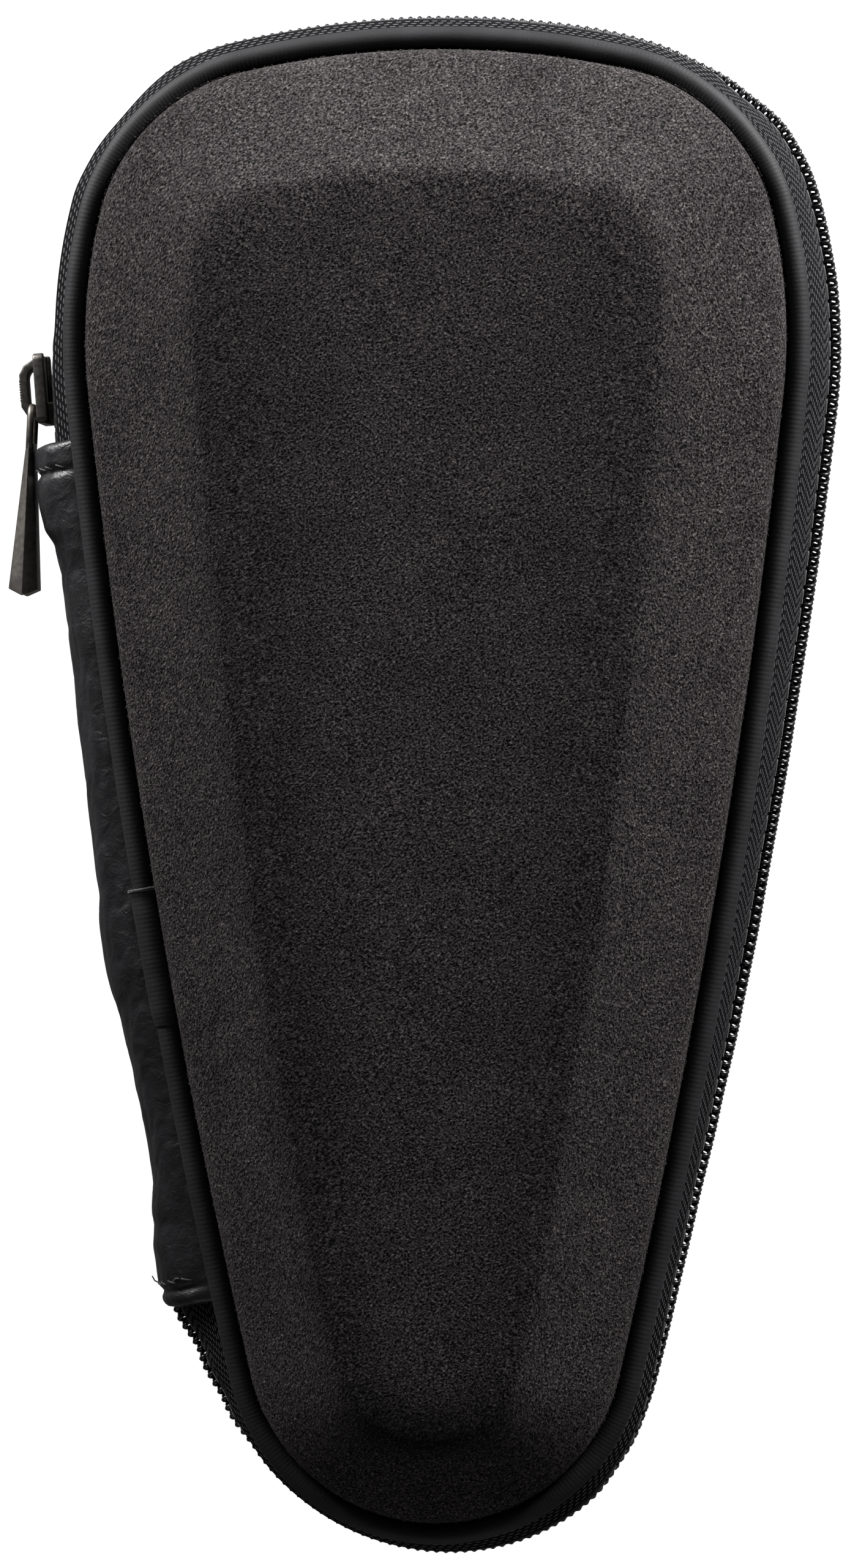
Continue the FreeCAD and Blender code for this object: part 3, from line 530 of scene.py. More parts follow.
def makeKnit(name, deep, pale, loop):
    # brushed tricot: tiny loops in rows, matte; loop is its width in mm
    material, tree, shader = newMaterial(name, Roughness=0.85, Sheen_Weight=0.25)
    place = addNode(tree, "TexCoord").outputs["Object"]
    rows = addNode(tree, "TexWave", {"wave_type": "BANDS", "bands_direction": "X"},
                   {"Vector": place, "Scale": math.pi / 10 / (loop * mm), "Distortion": 1.5, "Detail": 1.0})
    fuzz = addNode(tree, "TexNoise", {}, {"Vector": place, "Scale": 1 / (0.6 * mm), "Detail": 3.0})
    mixed = addNode(tree, "Math", {"operation": "MULTIPLY"}, {0: rows.outputs["Fac"], 1: fuzz.outputs["Fac"]})
    shade = addNode(tree, "ValToRGB", {}, {"Fac": mixed.outputs[0]})
    rampColors(shade, (0.05, deep), (0.6, pale))
    tree.links.new(shade.outputs["Color"], shader.inputs["Base Color"])
    bump = addNode(tree, "Bump", {}, {"Height": mixed.outputs[0], "Strength": 0.5, "Distance": 0.12 * mm})
    tree.links.new(bump.outputs["Normal"], shader.inputs["Normal"])
    return material


def makeElastic(name):
    # ribbed woven elastic: cords along its length with a dull knit between them, 1.3 mm apart
    material, tree, shader = newMaterial(name, Roughness=0.75, Sheen_Weight=0.2)
    along = addNode(tree, "Attribute", {"attribute_name": "along"}).outputs["Fac"]
    across = addNode(tree, "Attribute", {"attribute_name": "across"}).outputs["Fac"]
    ribs = addNode(tree, "Math", {"operation": "MULTIPLY"}, {0: across, 1: 2 * math.pi / (1.3 * mm)})
    ribWave = addNode(tree, "Math", {"operation": "SINE"}, {0: ribs.outputs[0]})
    picks = addNode(tree, "Math", {"operation": "MULTIPLY"}, {0: along, 1: 2 * math.pi / (0.6 * mm)})
    pickWave = addNode(tree, "Math", {"operation": "SINE"}, {0: picks.outputs[0]})
    height = addNode(tree, "Math", {"operation": "MULTIPLY_ADD"},
                     {0: pickWave.outputs[0], 1: 0.35, 2: ribWave.outputs[0]})
    shade = addNode(tree, "MapRange", {}, {"Value": height.outputs[0], "From Min": -1.35, "From Max": 1.35})
    color = addNode(tree, "ValToRGB", {}, {"Fac": shade.outputs["Result"]})
    rampColors(color, (0.1, "#0E0E0F"), (0.9, "#2A2A2D"))
    tree.links.new(color.outputs["Color"], shader.inputs["Base Color"])
    bump = addNode(tree, "Bump", {},
                   {"Height": shade.outputs["Result"], "Strength": 0.6, "Distance": 0.2 * mm})
    tree.links.new(bump.outputs["Normal"], shader.inputs["Normal"])
    return material


def makeThread(name, deep, pale):
    # spun polyester sewing thread: twisted plies, a soft shine
    material, tree, shader = newMaterial(name, Roughness=0.55, Sheen_Weight=0.3)
    place = addNode(tree, "TexCoord").outputs["Object"]
    plies = addNode(tree, "TexNoise", {}, {"Vector": place, "Scale": 1 / (0.4 * mm), "Detail": 2.0})
    shade = addNode(tree, "ValToRGB", {}, {"Fac": plies.outputs["Fac"]})
    rampColors(shade, (0.3, deep), (0.7, pale))
    tree.links.new(shade.outputs["Color"], shader.inputs["Base Color"])
    return material


def makeCastMetal(name, deep, pale, low, high):
    # plated zinc die casting: dark, with tumbled soft edges and fine handling marks
    material, tree, shader = newMaterial(name, Metallic=1.0)
    place = addNode(tree, "TexCoord").outputs["Object"]
    marks = addNode(tree, "TexNoise", {}, {"Vector": place, "Scale": 1 / (0.7 * mm), "Detail": 5.0})
    shade = addNode(tree, "ValToRGB", {}, {"Fac": marks.outputs["Fac"]})
    rampColors(shade, (0.3, deep), (0.75, pale))
    tree.links.new(shade.outputs["Color"], shader.inputs["Base Color"])
    gloss = addNode(tree, "MapRange", {}, {"Value": marks.outputs["Fac"], "To Min": low, "To Max": high})
    tree.links.new(gloss.outputs["Result"], shader.inputs["Roughness"])
    bump = addNode(tree, "Bump", {},
                   {"Height": marks.outputs["Fac"], "Strength": 0.15, "Distance": 0.05 * mm})
    tree.links.new(bump.outputs["Normal"], shader.inputs["Normal"])
    return material


def makeFoam(name, deep, pale):
    # closed-cell foam or extruded filler: matte with pores about 0.4 mm wide
    material, tree, shader = newMaterial(name, Roughness=0.9)
    place = addNode(tree, "TexCoord").outputs["Object"]
    pores = addNode(tree, "TexVoronoi", {}, {"Vector": place, "Scale": 1 / (0.4 * mm)})
    shade = addNode(tree, "ValToRGB", {}, {"Fac": pores.outputs["Distance"]})
    rampColors(shade, (0.1, deep), (0.7, pale))
    tree.links.new(shade.outputs["Color"], shader.inputs["Base Color"])
    bump = addNode(tree, "Bump", {},
                   {"Height": pores.outputs["Distance"], "Strength": 0.4, "Distance": 0.1 * mm})
    tree.links.new(bump.outputs["Normal"], shader.inputs["Normal"])
    return material


suede = makeSuede("blackMicrosuede", "#020202", "#282526", "#3F3B3C", "#7C7674")
wrap = makeWrap("pipingWrap")
tapeWeave = makeTape("zipTapeHerringbone")
nylon = makeNylon("nylonCoil")
leather = makeLeather("creasedLeatherette")
liningKnit = makeKnit("tricotLining", "#0F0F10", "#29292C", 0.7)
bindingKnit = makeKnit("bindingStrip", "#0B0B0C", "#1F1F21", 0.5)
padKnit = makeKnit("brushedPadFabric", "#121213", "#303034", 0.9)
elastic = makeElastic("ribbedElastic")
stitchThread = makeThread("blackThread", "#0B0B0C", "#1F1F22")
tapeThread = makeThread("tapeThread", "#19191A", "#39393B")
looseThread = makeThread("looseThread", "#2C2A29", "#5A5753")
rawEdge = makeThread("rawWrapEdge", "#131314", "#353433")
sliderMetal = makeCastMetal("blackenedSlider", "#5A5855", "#827E79", 0.36, 0.52)
pullerMetal = makeCastMetal("gunmetalPuller", "#6A6763", "#87827D", 0.42, 0.56)
foam = makeFoam("mouldedFoam", "#0C0C0D", "#1E1E20")
fillerCord = makeFoam("fillerCord", "#8A8A86", "#A8A8A2")
print("materials made")

# Moulded halves: suede outside and knitted lining inside
halfForm = {
    # share of the way from rim to deck, rise over the piping's middle in mm
    "outside": [(0.03, -1.45), (0.032, -0.4), (0.032, 0.5), (0.036, 1.4), (0.05, 2.35), (0.08, 3.3),
                (0.13, 4.2), (0.21, 5.25), (0.32, 6.7), (0.44, 8.25), (0.56, 9.8), (0.68, 11.35),
                (0.78, 12.65), (0.86, 13.68), (0.92, 14.48), (0.96, 14.98), (1.0, 15.36)],
    # share left of the deck and rise: its edge is a wide soft brow
    "deck": [(0.975, 15.54), (0.94, 15.66), (0.89, 15.76), (0.8, 15.86), (0.68, 15.92), (0.54, 15.96),
             (0.4, 15.98), (0.26, 15.99), (0.13, 16.0), (0.0, 16.0)],
    "deckRise": 16.0,
    "spine": (-75, 62),        # the line that the deck closes on
    "skin": 0.75,              # thickness of the suede
    "cornerIn": 0.3,           # drawn in with the piping round the upper corners
    # nap standing out along the suede's lower edge: hairs, their share, rise, lengths, thickness and lean
    "fringe": {"hairs": 2600, "share": 0.04, "rise": 1.2, "short": 0.12, "long": 0.3, "thick": 0.04,
               "lean": 0.3},
    "dent": 0.14,              # soft unevenness of the moulding
    "dentRings": (4, 10),      # rings between which it comes in
    "dentScale": 55,           # one over its size in metres
    "dentLevel": 0.35,
    "paintedShade": (0.7, 0.3),     # painted shade: darkens the suede's colour at the deck's edge, from this share to this fold
    "paintedShadeFold": 0.85,       # fold at which the painted shade is darkest
    # how dark the painted shade is on the left and right, less at the wide end, and the curve up to the tip
    "paintedShadeSides": {"left": 0.38, "right": 0.2, "wideEnd": 0.3, "tipCurve": 1.5},
    "stations": 320,
    # share, rise and lean of the wall, and how far in the lining's face lies
    "inside": [(0, -1.45, 0), (0, 1.0, 8), (0.08, 3.4, 38), (0.21, 5.2, 52), (0.36, 7.15, 54),
               (0.52, 9.25, 56), (0.68, 11.3, 58), (0.84, 13.4, 60), (1, 16.0, 90)],
    "liningDepth": 4.62,
    "lining": 0.5,
}


def deckPlaces(stations, fold, height):
    return foldIn(ringPlaces(stations, 1, 0, height), fold, halfForm["spine"])


def halfHeight(side, rise):
    return caseForm["parting"] + side * (caseForm["pipingRise"] + rise)


def makeHalf(side, body, coverName, liningName):
    stations = stationsRound(halfForm["stations"])
    rings = []
    for share, rise in halfForm["outside"]:
        ring = ringPlaces(stations, share, 0, halfHeight(side, rise))
        draw = halfForm["cornerIn"] * (1 - share) * mm
        rings.append([place - outwardAt(station) * cornerShare(station) * draw
                      for station, place in zip(stations, ring)])
    rings += [deckPlaces(stations, fold, halfHeight(side, rise)) for fold, rise in halfForm["deck"]]
    first, last = halfForm["dentRings"]
    for number, ring in enumerate(rings):
        ease = min(1, max(0, (number - first) / (last - first))) * halfForm["dent"] * mm
        for place in ring:
            lift = noise.noise(place * halfForm["dentScale"] + Vector((0, 0, 7 * side)))
            lift -= halfForm["dentLevel"]
            place.z += side * min(lift, 0) * ease
    # painted shade: weights by ring and by station that darken the suede's colour at the deck's edge, more on
    # the left than the right, fading towards the wide end and growing towards the tip
    low, high = halfForm["paintedShade"]
    paintedShade = [readOff([(low, 0), (1, 1)], share) for share, rise in halfForm["outside"]]
    paintedShade += [readOff([(high, 0), (halfForm["paintedShadeFold"], 1)], fold) for fold, rise in halfForm["deck"]]
    flat = halfForm["paintedShadeSides"]
    sides = []
    for station in stations:
        out = outwardAt(station)
        weight = flat["left"] if out.x < 0 else flat["right"]
        tipward = max(0, -out.y) ** flat["tipCurve"]
        sides.append(weight - (weight + flat["wideEnd"]) * max(0, out.y) + (1 - weight) * tipward)
    cover = loftRings(coverName, rings, attributes=(sides, paintedShade))
    applyModifier(cover, "SOLIDIFY", thickness=halfForm["skin"] * mm, offset=-1)
    dress(cover, suede, body, "suede", body + "_cover")

    fringe = halfForm["fringe"]
    stations = stationsRound(fringe["hairs"])
    roots = ringPlaces(stations, fringe["share"], 0, halfHeight(side, fringe["rise"]))
    tips = []
    for station, root in zip(stations, roots):
        length = random.uniform(fringe["short"], 1) ** 2 * fringe["long"]
        lean = Vector((0, 0, side * length * fringe["lean"]))
        tips.append(root + (outwardAt(station) * length + lean) * mm)
    hairs = loftRings(coverName + "Nap", [roots, tips])
    applyModifier(hairs, "SOLIDIFY", thickness=fringe["thick"] * mm, offset=0)
    dress(hairs, suede, body, "suede")

    stations = stationsRound(halfForm["stations"])
    depth = halfForm["liningDepth"]
    rings = []
    for share, rise, lean in halfForm["inside"]:
        inward, drop = depth * math.cos(math.radians(lean)), depth * math.sin(math.radians(lean))
        rings.append(ringPlaces(stations[::2], share, -inward, halfHeight(side, rise - drop)))
    floor = halfForm["deckRise"] - depth
    rings += [deckPlaces(stations[::2], fold, halfHeight(side, floor)) for fold, rise in halfForm["deck"][3:]]
    lining = loftRings(liningName, rings)
    applyModifier(lining, "SUBSURF", levels=1, render_levels=1)
    applyModifier(lining, "SOLIDIFY", thickness=halfForm["lining"] * mm, offset=1)
    dress(lining, liningKnit, body, "lining", body + "_lining")


makeHalf(1, "lid", "lidSuede", "lidLining")
makeHalf(-1, "base", "baseSuede", "baseLining")
print("moulded halves made")

# Piping with fine cross ribs, and the wrap over its join
pipingForm = {
    "out": 1.15,           # rim to the piping's middle, mm
    "radius": 1.5,
    "cord": 0.9,           # radius of the filler cord in it
    "cornerIn": 0.7,       # the piping is drawn in round the upper corners
    "rib": 0.62,           # spacing of the ribs
    "ribDepth": 0.024,
    "ribSteps": 4,
    "sides": 14,
    "wobble": 0.02,        # unevenness of the wrap
    "wobbleScale": 180,    # one over its size in metres
    "cordSides": 8,
    "flange": [(1.2, -1.0), (0.2, -0.95), (-1.1, -0.8)],   # its seam edge, out from the rim and rise
    "flangeWall": 0.3,
    "sleeve": (-15.2, -33.6),   # ends of the join's wrap along the case
    "sleeveRadius": 1.95,
    "sleeveWall": 0.35,
    "sleeveTurns": (-70, 165),   # how far round the piping it reaches, degrees
    "sleeveSides": 15,
    "sleeveFlare": (0.16, 0.06),   # its upper end stands off by this much over this share of its length
    "sleeveSink": (0.3, 0.2),      # and its lower end sinks in
    "sleeveUneven": 0.05,
    # raw edge at its upper end: turns in degrees, steps, radius and fraying
    "lip": {"turns": (-20, 150), "steps": 40, "radius": 0.26, "fray": 0.2},
}


def pipingLine(stations, side):
    places = ringPlaces(stations, 0, pipingForm["out"], halfHeight(side, 0))
    return [place - outwardAt(station) * cornerShare(station) * pipingForm["cornerIn"] * mm
            for station, place in zip(stations, places)]


def aroundAt(station, turn):
    # the way out from the piping's middle, at a turn from level
    return outwardAt(station) * math.cos(turn) + Vector((0, 0, math.sin(turn)))


def ribGroove(number):
    return pipingForm["ribDepth"] * (0.5 - 0.5 * math.cos(2 * math.pi * number / pipingForm["ribSteps"]))


def makePiping(side, body, name):
    stations = stationsRound(pipingForm["ribSteps"] * round(wholeChain / pipingForm["rib"]))
    centre = pipingLine(stations, side)
    rings = []
    for k in range(pipingForm["sides"]):
        turn = 2 * math.pi * k / pipingForm["sides"]
        ring = []
        for i, place in enumerate(centre):
            wobble = noise.noise(place * pipingForm["wobbleScale"]) * pipingForm["wobble"]
            radius = pipingForm["radius"] - ribGroove(i) + wobble
            ring.append(place + aroundAt(stations[i], turn) * radius * mm)
        rings.append(ring)
    piping = loftRings(name, rings, tube=True)
    edge = stationsRound(halfForm["stations"])
    flange = loftRings(name + "Flange", [ringPlaces(edge, 0, out, halfHeight(side, rise))
                                         for out, rise in pipingForm["flange"]])
    applyModifier(flange, "SOLIDIFY", thickness=pipingForm["flangeWall"] * mm, offset=0)
    joinPieces(name, [piping, flange])
    dress(piping, wrap, body, "piping", body + "_piping")
    line = pipingLine(edge, side)
    rings = []
    for k in range(pipingForm["cordSides"]):
        turn = 2 * math.pi * k / pipingForm["cordSides"]
        rings.append([place + aroundAt(station, turn) * pipingForm["cord"] * mm
                      for station, place in zip(edge, line)])
    cord = loftRings(name + "Cord", rings, tube=True)
    dress(cord, fillerCord, body, "cord", body + "_piping_cord")


makePiping(1, "lid", "lidPiping")
makePiping(-1, "base", "basePiping")


def makeSleeve():
    form = pipingForm
    first, last = (chainAt(y, flankArc) for y in form["sleeve"])
    stations = stationsBetween(first, last, form["ribSteps"] * round((last - first) / form["rib"]) + 1)
    centre = pipingLine(stations, 1)
    low, high = form["sleeveTurns"]
    flare, flareShare = form["sleeveFlare"]
    sink, sinkShare = form["sleeveSink"]
    rings = []
    for k in range(form["sleeveSides"]):
        turn = math.radians(low + (high - low) * k / (form["sleeveSides"] - 1))
        ring = []
        for i, place in enumerate(centre):
            part = i / (len(centre) - 1)
            stand = flare * max(0, 1 - part / flareShare)
            stand -= sink * max(0, (part - (1 - sinkShare)) / sinkShare) ** 2
            stand -= ribGroove(i)
            radius = form["sleeveRadius"] + stand + form["sleeveUneven"] * noise.noise(place * 400)
            ring.append(place + aroundAt(stations[i], turn) * radius * mm)
        rings.append(ring)
    sleeve = loftRings("pipingJoinWrap", rings, closed=False)
    applyModifier(sleeve, "SOLIDIFY", thickness=form["sleeveWall"] * mm, offset=-1)
    dress(sleeve, wrap, "lid", "piping", "lid_piping_sleeve")
    raw = form["lip"]
    low, high = raw["turns"]
    places, radii = [], []
    for k in range(raw["steps"]):
        turn = math.radians(low + (high - low) * k / (raw["steps"] - 1))
        radius = form["sleeveRadius"] + form["sleeveUneven"] * noise.noise(Vector((k * 0.9, 0, 5)))
        fray = Vector((0, raw["fray"] * noise.noise(Vector((k * 0.7, 3, 0))), 0))
        places.append(centre[0] + (aroundAt(stations[0], turn) * radius + fray) * mm)
        radii.append(raw["radius"] * mm * (1 + 0.5 * noise.noise(Vector((k, 9, 0)))))
    lip = tubeAlong("pipingJoinLip", places, radii, up=Vector((0, 1, 0)))
    dress(lip, rawEdge, "lid", "piping")


makeSleeve()
print("piping made")

# Zip: woven tapes, coil rows and the stitches that hold them
zipForm = {
    # rim to the tape's middle and height over the parting plane, mm
    "tape": [(4.1, 0.35), (4.15, 1.7), (4.35, 3.0), (4.5, 4.1), (4.35, 5.2), (3.8, 6.3), (2.8, 7.3),
             (1.6, 8.15), (0.2, 8.75), (-2.2, 9.05)],
    "tapeThickness": 0.5,
    "tucked": 3.0,          # how far the zip's ends run in under the leather strip
    "tapeStations": 420,
    "pitch": 1.27,          # one turn of a coil
    "filament": (0.28, 0.31),    # radius at the turn's head and at its back
    "coilOut": 5.55,        # rim to the middle of the coil
    "coilMiddle": 0.95,     # height of the turn's middle over the parting plane
    "coilReach": 1.5,       # half the turn's height
    "coilDepth": 0.55,      # half the turn's depth
    # the soft zip sways in and out from its even line: place along the case and shift in mm
    "swayLower": [(-71, 2.9), (-78, 0.9), (-85, -0.7), (-92, -1.7), (-100, -1.9)],
    "swayRight": [(-98, -0.9), (-92, -1.5), (-85, -1.9), (-72, -1.7), (-58, -1.5), (-45, -1.1), (-32, -0.7),
                  (-18, -0.4), (8, 0), (34, 0.3), (54, 0.4), (67, 0.3), (74, 0.1), (81, 0), (88, -0.2),
                  (95, -1.3), (99, -1.7), (103, -1.1)],
    "swayUpper": [(99, -1.2), (92, -2.5), (86, -2.2), (80, -1.6), (63, -1.6), (59, -1.3), (54, -0.9),
                  (46, -0.5)],
    "swayHeights": (5, 8.75),   # the tape sways fully up to the first height and not at all from the second
    # where the tape hangs out over the coil, by how much, and at which heights
    "bellyLower": [(-74, 0), (-82, 0.3), (-92, 0.9)],
    "bellyRight": [(-90, 1.1), (-80, 0.9), (-66, 0.6), (-45, 0.3), (-20, 0), (88, 0), (95, 0.2), (98, 0.75)],
    "bellyUpper": [(99, 1.0), (92, 1.15), (84, 1.45), (74, 1.45), (60, 1.4), (54, 1.3), (46, 1.2)],
    "bellyHeights": (2.2, 6.5),
    "turnSteps": 16,
    "turnSquare": 0.4,      # how square a turn's sides are
    "filamentSides": 6,
    "lineSteps": 700,
    "stitch": {"pitch": 2.6, "length": 1.9, "rise": 0.12, "radius": 0.17, "out": 4.75, "height": 3.55},
}


def chainTable(kind):
    # shifts along the whole zip, by length along the chain
    table = [(lengthAt(y), shift) for y, shift in zipForm[kind + "Lower"]]
    table += [(lengthAt(y, right=True), shift) for y, shift in zipForm[kind + "Right"]]
    return table + [(wholeChain + lengthAt(y), shift) for y, shift in zipForm[kind + "Upper"]]


swayTable = chainTable("sway")
bellyTable = chainTable("belly")


def zipLine(out, rise, count):
    # a line along the zip at a height over or under the parting plane
    first, last = stripLast - zipForm["tucked"], wholeChain + stripFirst + zipForm["tucked"]
    stations = stationsBetween(first, last, count)
    places = ringPlaces(stations, 0, out, caseForm["parting"] + rise)
    full, none = zipForm["swayHeights"]
    share = min(1, max(0, (none - abs(rise)) / (none - full)))
    hangs = zipForm["bellyHeights"][0] < abs(rise) < zipForm["bellyHeights"][1]
    for i, station in enumerate(stations):
        length = first + (last - first) * i / (count - 1)
        shift = readOff(swayTable, length) * share + (readOff(bellyTable, length) if hangs else 0)
        places[i] += outwardAt(station) * shift * mm
    return places


def makeTapeSide(side, body, name):
    count = zipForm["tapeStations"]
    rings = [zipLine(out, side * rise, count) for out, rise in zipForm["tape"]]
    lengths = [0.0]
    for (outA, riseA), (outB, riseB) in zip(zipForm["tape"], zipForm["tape"][1:]):
        lengths.append(lengths[-1] + math.hypot(outB - outA, riseB - riseA) * mm)
    step = lineLength(rings[0]) / (count - 1)
    tape = loftRings(name, rings, closed=False, attributes=([i * step for i in range(count)], lengths))
    applyModifier(tape, "SOLIDIFY", thickness=zipForm["tapeThickness"] * mm, offset=0)
    dress(tape, tapeWeave, body, "zip_tape", body + "_tape")


def makeCoilRow(side, body, name):
    steps, pitch, sides = zipForm["turnSteps"], zipForm["pitch"], zipForm["filamentSides"]
    line = zipLine(zipForm["coilOut"], 0, zipForm["lineSteps"])
    turns = int(lineLength(line) / mm / pitch) - 1
    shift = pitch / 2 if side < 0 else 0
    places = []
    for k in range(steps + 1):
        turn = 2 * math.pi * k / steps
        sway = softened(math.sin(turn), zipForm["turnSquare"]) if k % (steps // 2) else 0
        places.append(Vector((shift + pitch * k / steps, zipForm["coilDepth"] * sway,
                              side * (zipForm["coilMiddle"] - zipForm["coilReach"] * math.cos(turn)))) * mm)
    rings = []
    for k, place in enumerate(places):
        turn = 2 * math.pi * k / steps
        way = Vector((pitch / (2 * math.pi), zipForm["coilDepth"] * math.cos(turn),
                      side * zipForm["coilReach"] * math.sin(turn))).normalized()
        flank = way.cross(Vector((1, 0, 0))).normalized()
        top = flank.cross(way)
        head, back = zipForm["filament"]
        radius = (head + (back - head) * (1 - math.cos(turn)) / 2) * mm
        rings.append([place + (flank * math.cos(t) + top * math.sin(t)) * radius
                      for t in (2 * math.pi * s / sides for s in range(sides))])
    row = loftRings(name, rings)
    repeatAlong(row, line, pitch * mm, turns)
    closeEnds(row)
    bpy.ops.object.shade_smooth()
    dress(row, nylon, body, "zip_coil", body + "_coil", body + "_coil_end")


def makeTapeStitches(side, body, name):
    form = zipForm["stitch"]
    line = zipLine(form["out"], side * form["height"], zipForm["lineSteps"])
    stitch = tubeAlong(name, stitchPlaces(form["length"], form["rise"]), form["radius"] * mm)
    repeatAlong(stitch, line, form["pitch"] * mm, int(lineLength(line) / mm / form["pitch"]))
    bpy.ops.object.shade_smooth()
    dress(stitch, tapeThread, body, "zip_tape")


for side, body in ((1, "lid"), (-1, "base")):
    makeTapeSide(side, body, body + "Tape")
    makeCoilRow(side, body, body + "Coil")
    makeTapeStitches(side, body, body + "TapeStitches")
print("zip made")

# Leather hinge strip: a lumpy folded band between the halves, hemmed at both ends
stripForm = {
    # place along the case, and how far the leather stands out from the rim there, mm
    "bulge": [(46, 8.8), (43.4, 8.8), (40, 9.1), (36, 8.8), (33, 7.6), (29, 7.2), (21, 7.3), (8, 7.6),
              (-5, 8.1), (-12, 8.6), (-18.6, 9.2), (-25, 9.2), (-32, 8.6), (-38.5, 8.05), (-45, 7.9),
              (-52, 8.3), (-58, 9.4), (-62, 10.3), (-67, 10.5), (-71, 10.2)],
    "foot": 0.9,             # rim to the leather where it is sewn on
    "rise": 9.2,             # half its height between the two seams
    "thickness": 0.8,
    "gap": (-0.4, 0.0),      # ends of the zip to the strip, upper and lower
    "seams": (43.0, -67.4),  # stitch lines of the two hems
    "seamDepth": 0.55,
    "seamWidth": 0.55,
    "rolled": 1.3,           # rounding of the hems' ends
    # unevenness of the leather: depth in mm, and size in mm along and degrees over the bulge
    "lump": 0.35, "lumpSize": (9, 30),
    "crease": 0.16, "creaseSize": (7.5, 20), "creaseSlant": 14,
    "grain": 0.03, "grainSize": (1.6, 9),
    "stations": 330,
    "sides": 48,
    "turns": 88,             # how far over the bulge the leather reaches each way, degrees
    "stitch": {"count": 9, "radius": 0.13, "length": 1.5, "spread": 66, "reach": 9, "slant": 0.25,
               "lift": (-0.05, 0.06, 0.08, 0.06, -0.05), "looseRadius": 0.1},
    # loose ends of thread at the lower hem: start turn in degrees, and its way in mm
    "loose": [(8, [(0, 0, 0), (-0.5, 0.3, 0.3), (-0.8, 0.9, 0.5)]),
              (52, [(0, 0, 0), (0.4, 0.5, 0.5), (0.9, 0.5, 0.7)])],
}


def stripPlace(length, turn):
    # one point of the leather, by length along the chain and turn over the bulge in degrees
    form = stripForm
    station = stationAt(length)
    rim = placeOn(outlineArcs(0, 0), station, caseForm["parting"])
    out = outwardAt(station)
    y = rim.y / mm
    over, up = math.cos(math.radians(turn)), math.sin(math.radians(turn))
    fromEnd = min(length - stripFirst - form["gap"][0], stripLast - form["gap"][1] - length)
    bulge = readOff(form["bulge"], y)
    ease = min(1, max(0, over * 2.2))
    lump = noise.noise(Vector((length / form["lumpSize"][0], turn / form["lumpSize"][1], 3)))
    creaseLong, creaseOver = form["creaseSize"]
    slanted = turn / creaseOver + length / form["creaseSlant"]
    fold = 1 - abs(noise.noise(Vector((length / creaseLong, slanted, 11)))) * 2.2
    grain = noise.noise(Vector((length / form["grainSize"][0], turn / form["grainSize"][1], 23)))
    push = form["lump"] * lump - form["crease"] * max(0, fold - 0.55) / 0.45 + form["grain"] * grain
    for seam in form["seams"]:
        push -= form["seamDepth"] * math.exp(-((y - seam) / form["seamWidth"]) ** 2)
    if fromEnd < form["rolled"]:
        bend = 1 - max(0, fromEnd) / form["rolled"]
        push -= form["rolled"] * (1 - math.sqrt(max(0, 1 - bend * bend)))
    stand = form["foot"] + (bulge - form["foot"]) * over ** 0.75
    rise = form["rise"] * softened(up, 0.9)
    push *= ease
    return rim + (out * (stand + push * over) + Vector((0, 0, rise + push * up))) * mm


def makeStrip():
    form = stripForm
    first, last = stripFirst + form["gap"][0], stripLast - form["gap"][1]
    count = form["stations"]
    reach = form["turns"]
    turns = [-reach + 2 * reach * k / (form["sides"] - 1) for k in range(form["sides"])]
    rings = [[stripPlace(first + (last - first) * i / (count - 1), turn) for i in range(count)]
             for turn in turns]
    strip = loftRings("leatherHingeStrip", rings, closed=False)
    applyModifier(strip, "SOLIDIFY", thickness=form["thickness"] * mm, offset=-1)
    dress(strip, leather, ("base", "lid"), "hinge_leather", "hinge_strip")


def makeHemStitches():
    form = stripForm["stitch"]
    threads, ends = [], []
    for seam in stripForm["seams"]:
        length = chainAt(seam, flankArc)
        for k in range(form["count"]):
            middle = form["spread"] * (2 * k / (form["count"] - 1) - 1)
            half = math.degrees(form["length"] / 2 / form["reach"])
            places = [stripPlace(length + form["slant"] * part, middle + half * part) for part in stitchSteps]
            out = outwardAt(stationAt(length))
            places = [place + out * rise * mm for place, rise in zip(places, form["lift"])]
            threads.append(tubeAlong("hemStitch", places, form["radius"] * mm))
    length = chainAt(stripForm["seams"][1], flankArc)
    for turn, way in stripForm["loose"]:
        start = stripPlace(length, turn)
        places = [start + Vector(step) * mm for step in way]
        ends.append(tubeAlong("looseEnd", places, form["looseRadius"] * mm, sides=5,
                              up=Vector((0.3, 0.2, 1))))
    dress(joinPieces("hemStitches", threads), stitchThread, ("base", "lid"), "hinge_leather")
    dress(joinPieces("looseThreadEnds", ends), looseThread, "lid", "hinge_leather")


makeStrip()
makeHemStitches()
print("hinge strip made")

# Slider with its knurled bail, and the puller
sliderForm = {
    "angle": 4.3,            # place on the shoulder arc, below its widest point, degrees
    "edge": 0.28,            # rounding of the casting's edges, mm
    "plateFace": 2.35,       # chain's middle to the outer face of a plate
    "bail": {"length": 8.4, "rise": 2.5, "strap": 1.35, "width": 3.0, "corner": 2.7, "knurl": 0.05,
             "pitch": 0.4, "sunk": 0.3, "steps": 6, "sides": 16},
    "pin": (3.25, 2.3),      # puller's pin, outward and along from the slider's middle
    "lean": 7,               # outward lean of the puller, degrees
    "puller": {"length": 26, "half": 3.0, "thin": 0.5, "thick": 2.0, "neck": 5.0, "roof": 0.95, "tip": 0.9,
               "eye": 2.4, "wire": 0.48, "edge": 0.16, "edgeAngle": 22},
}


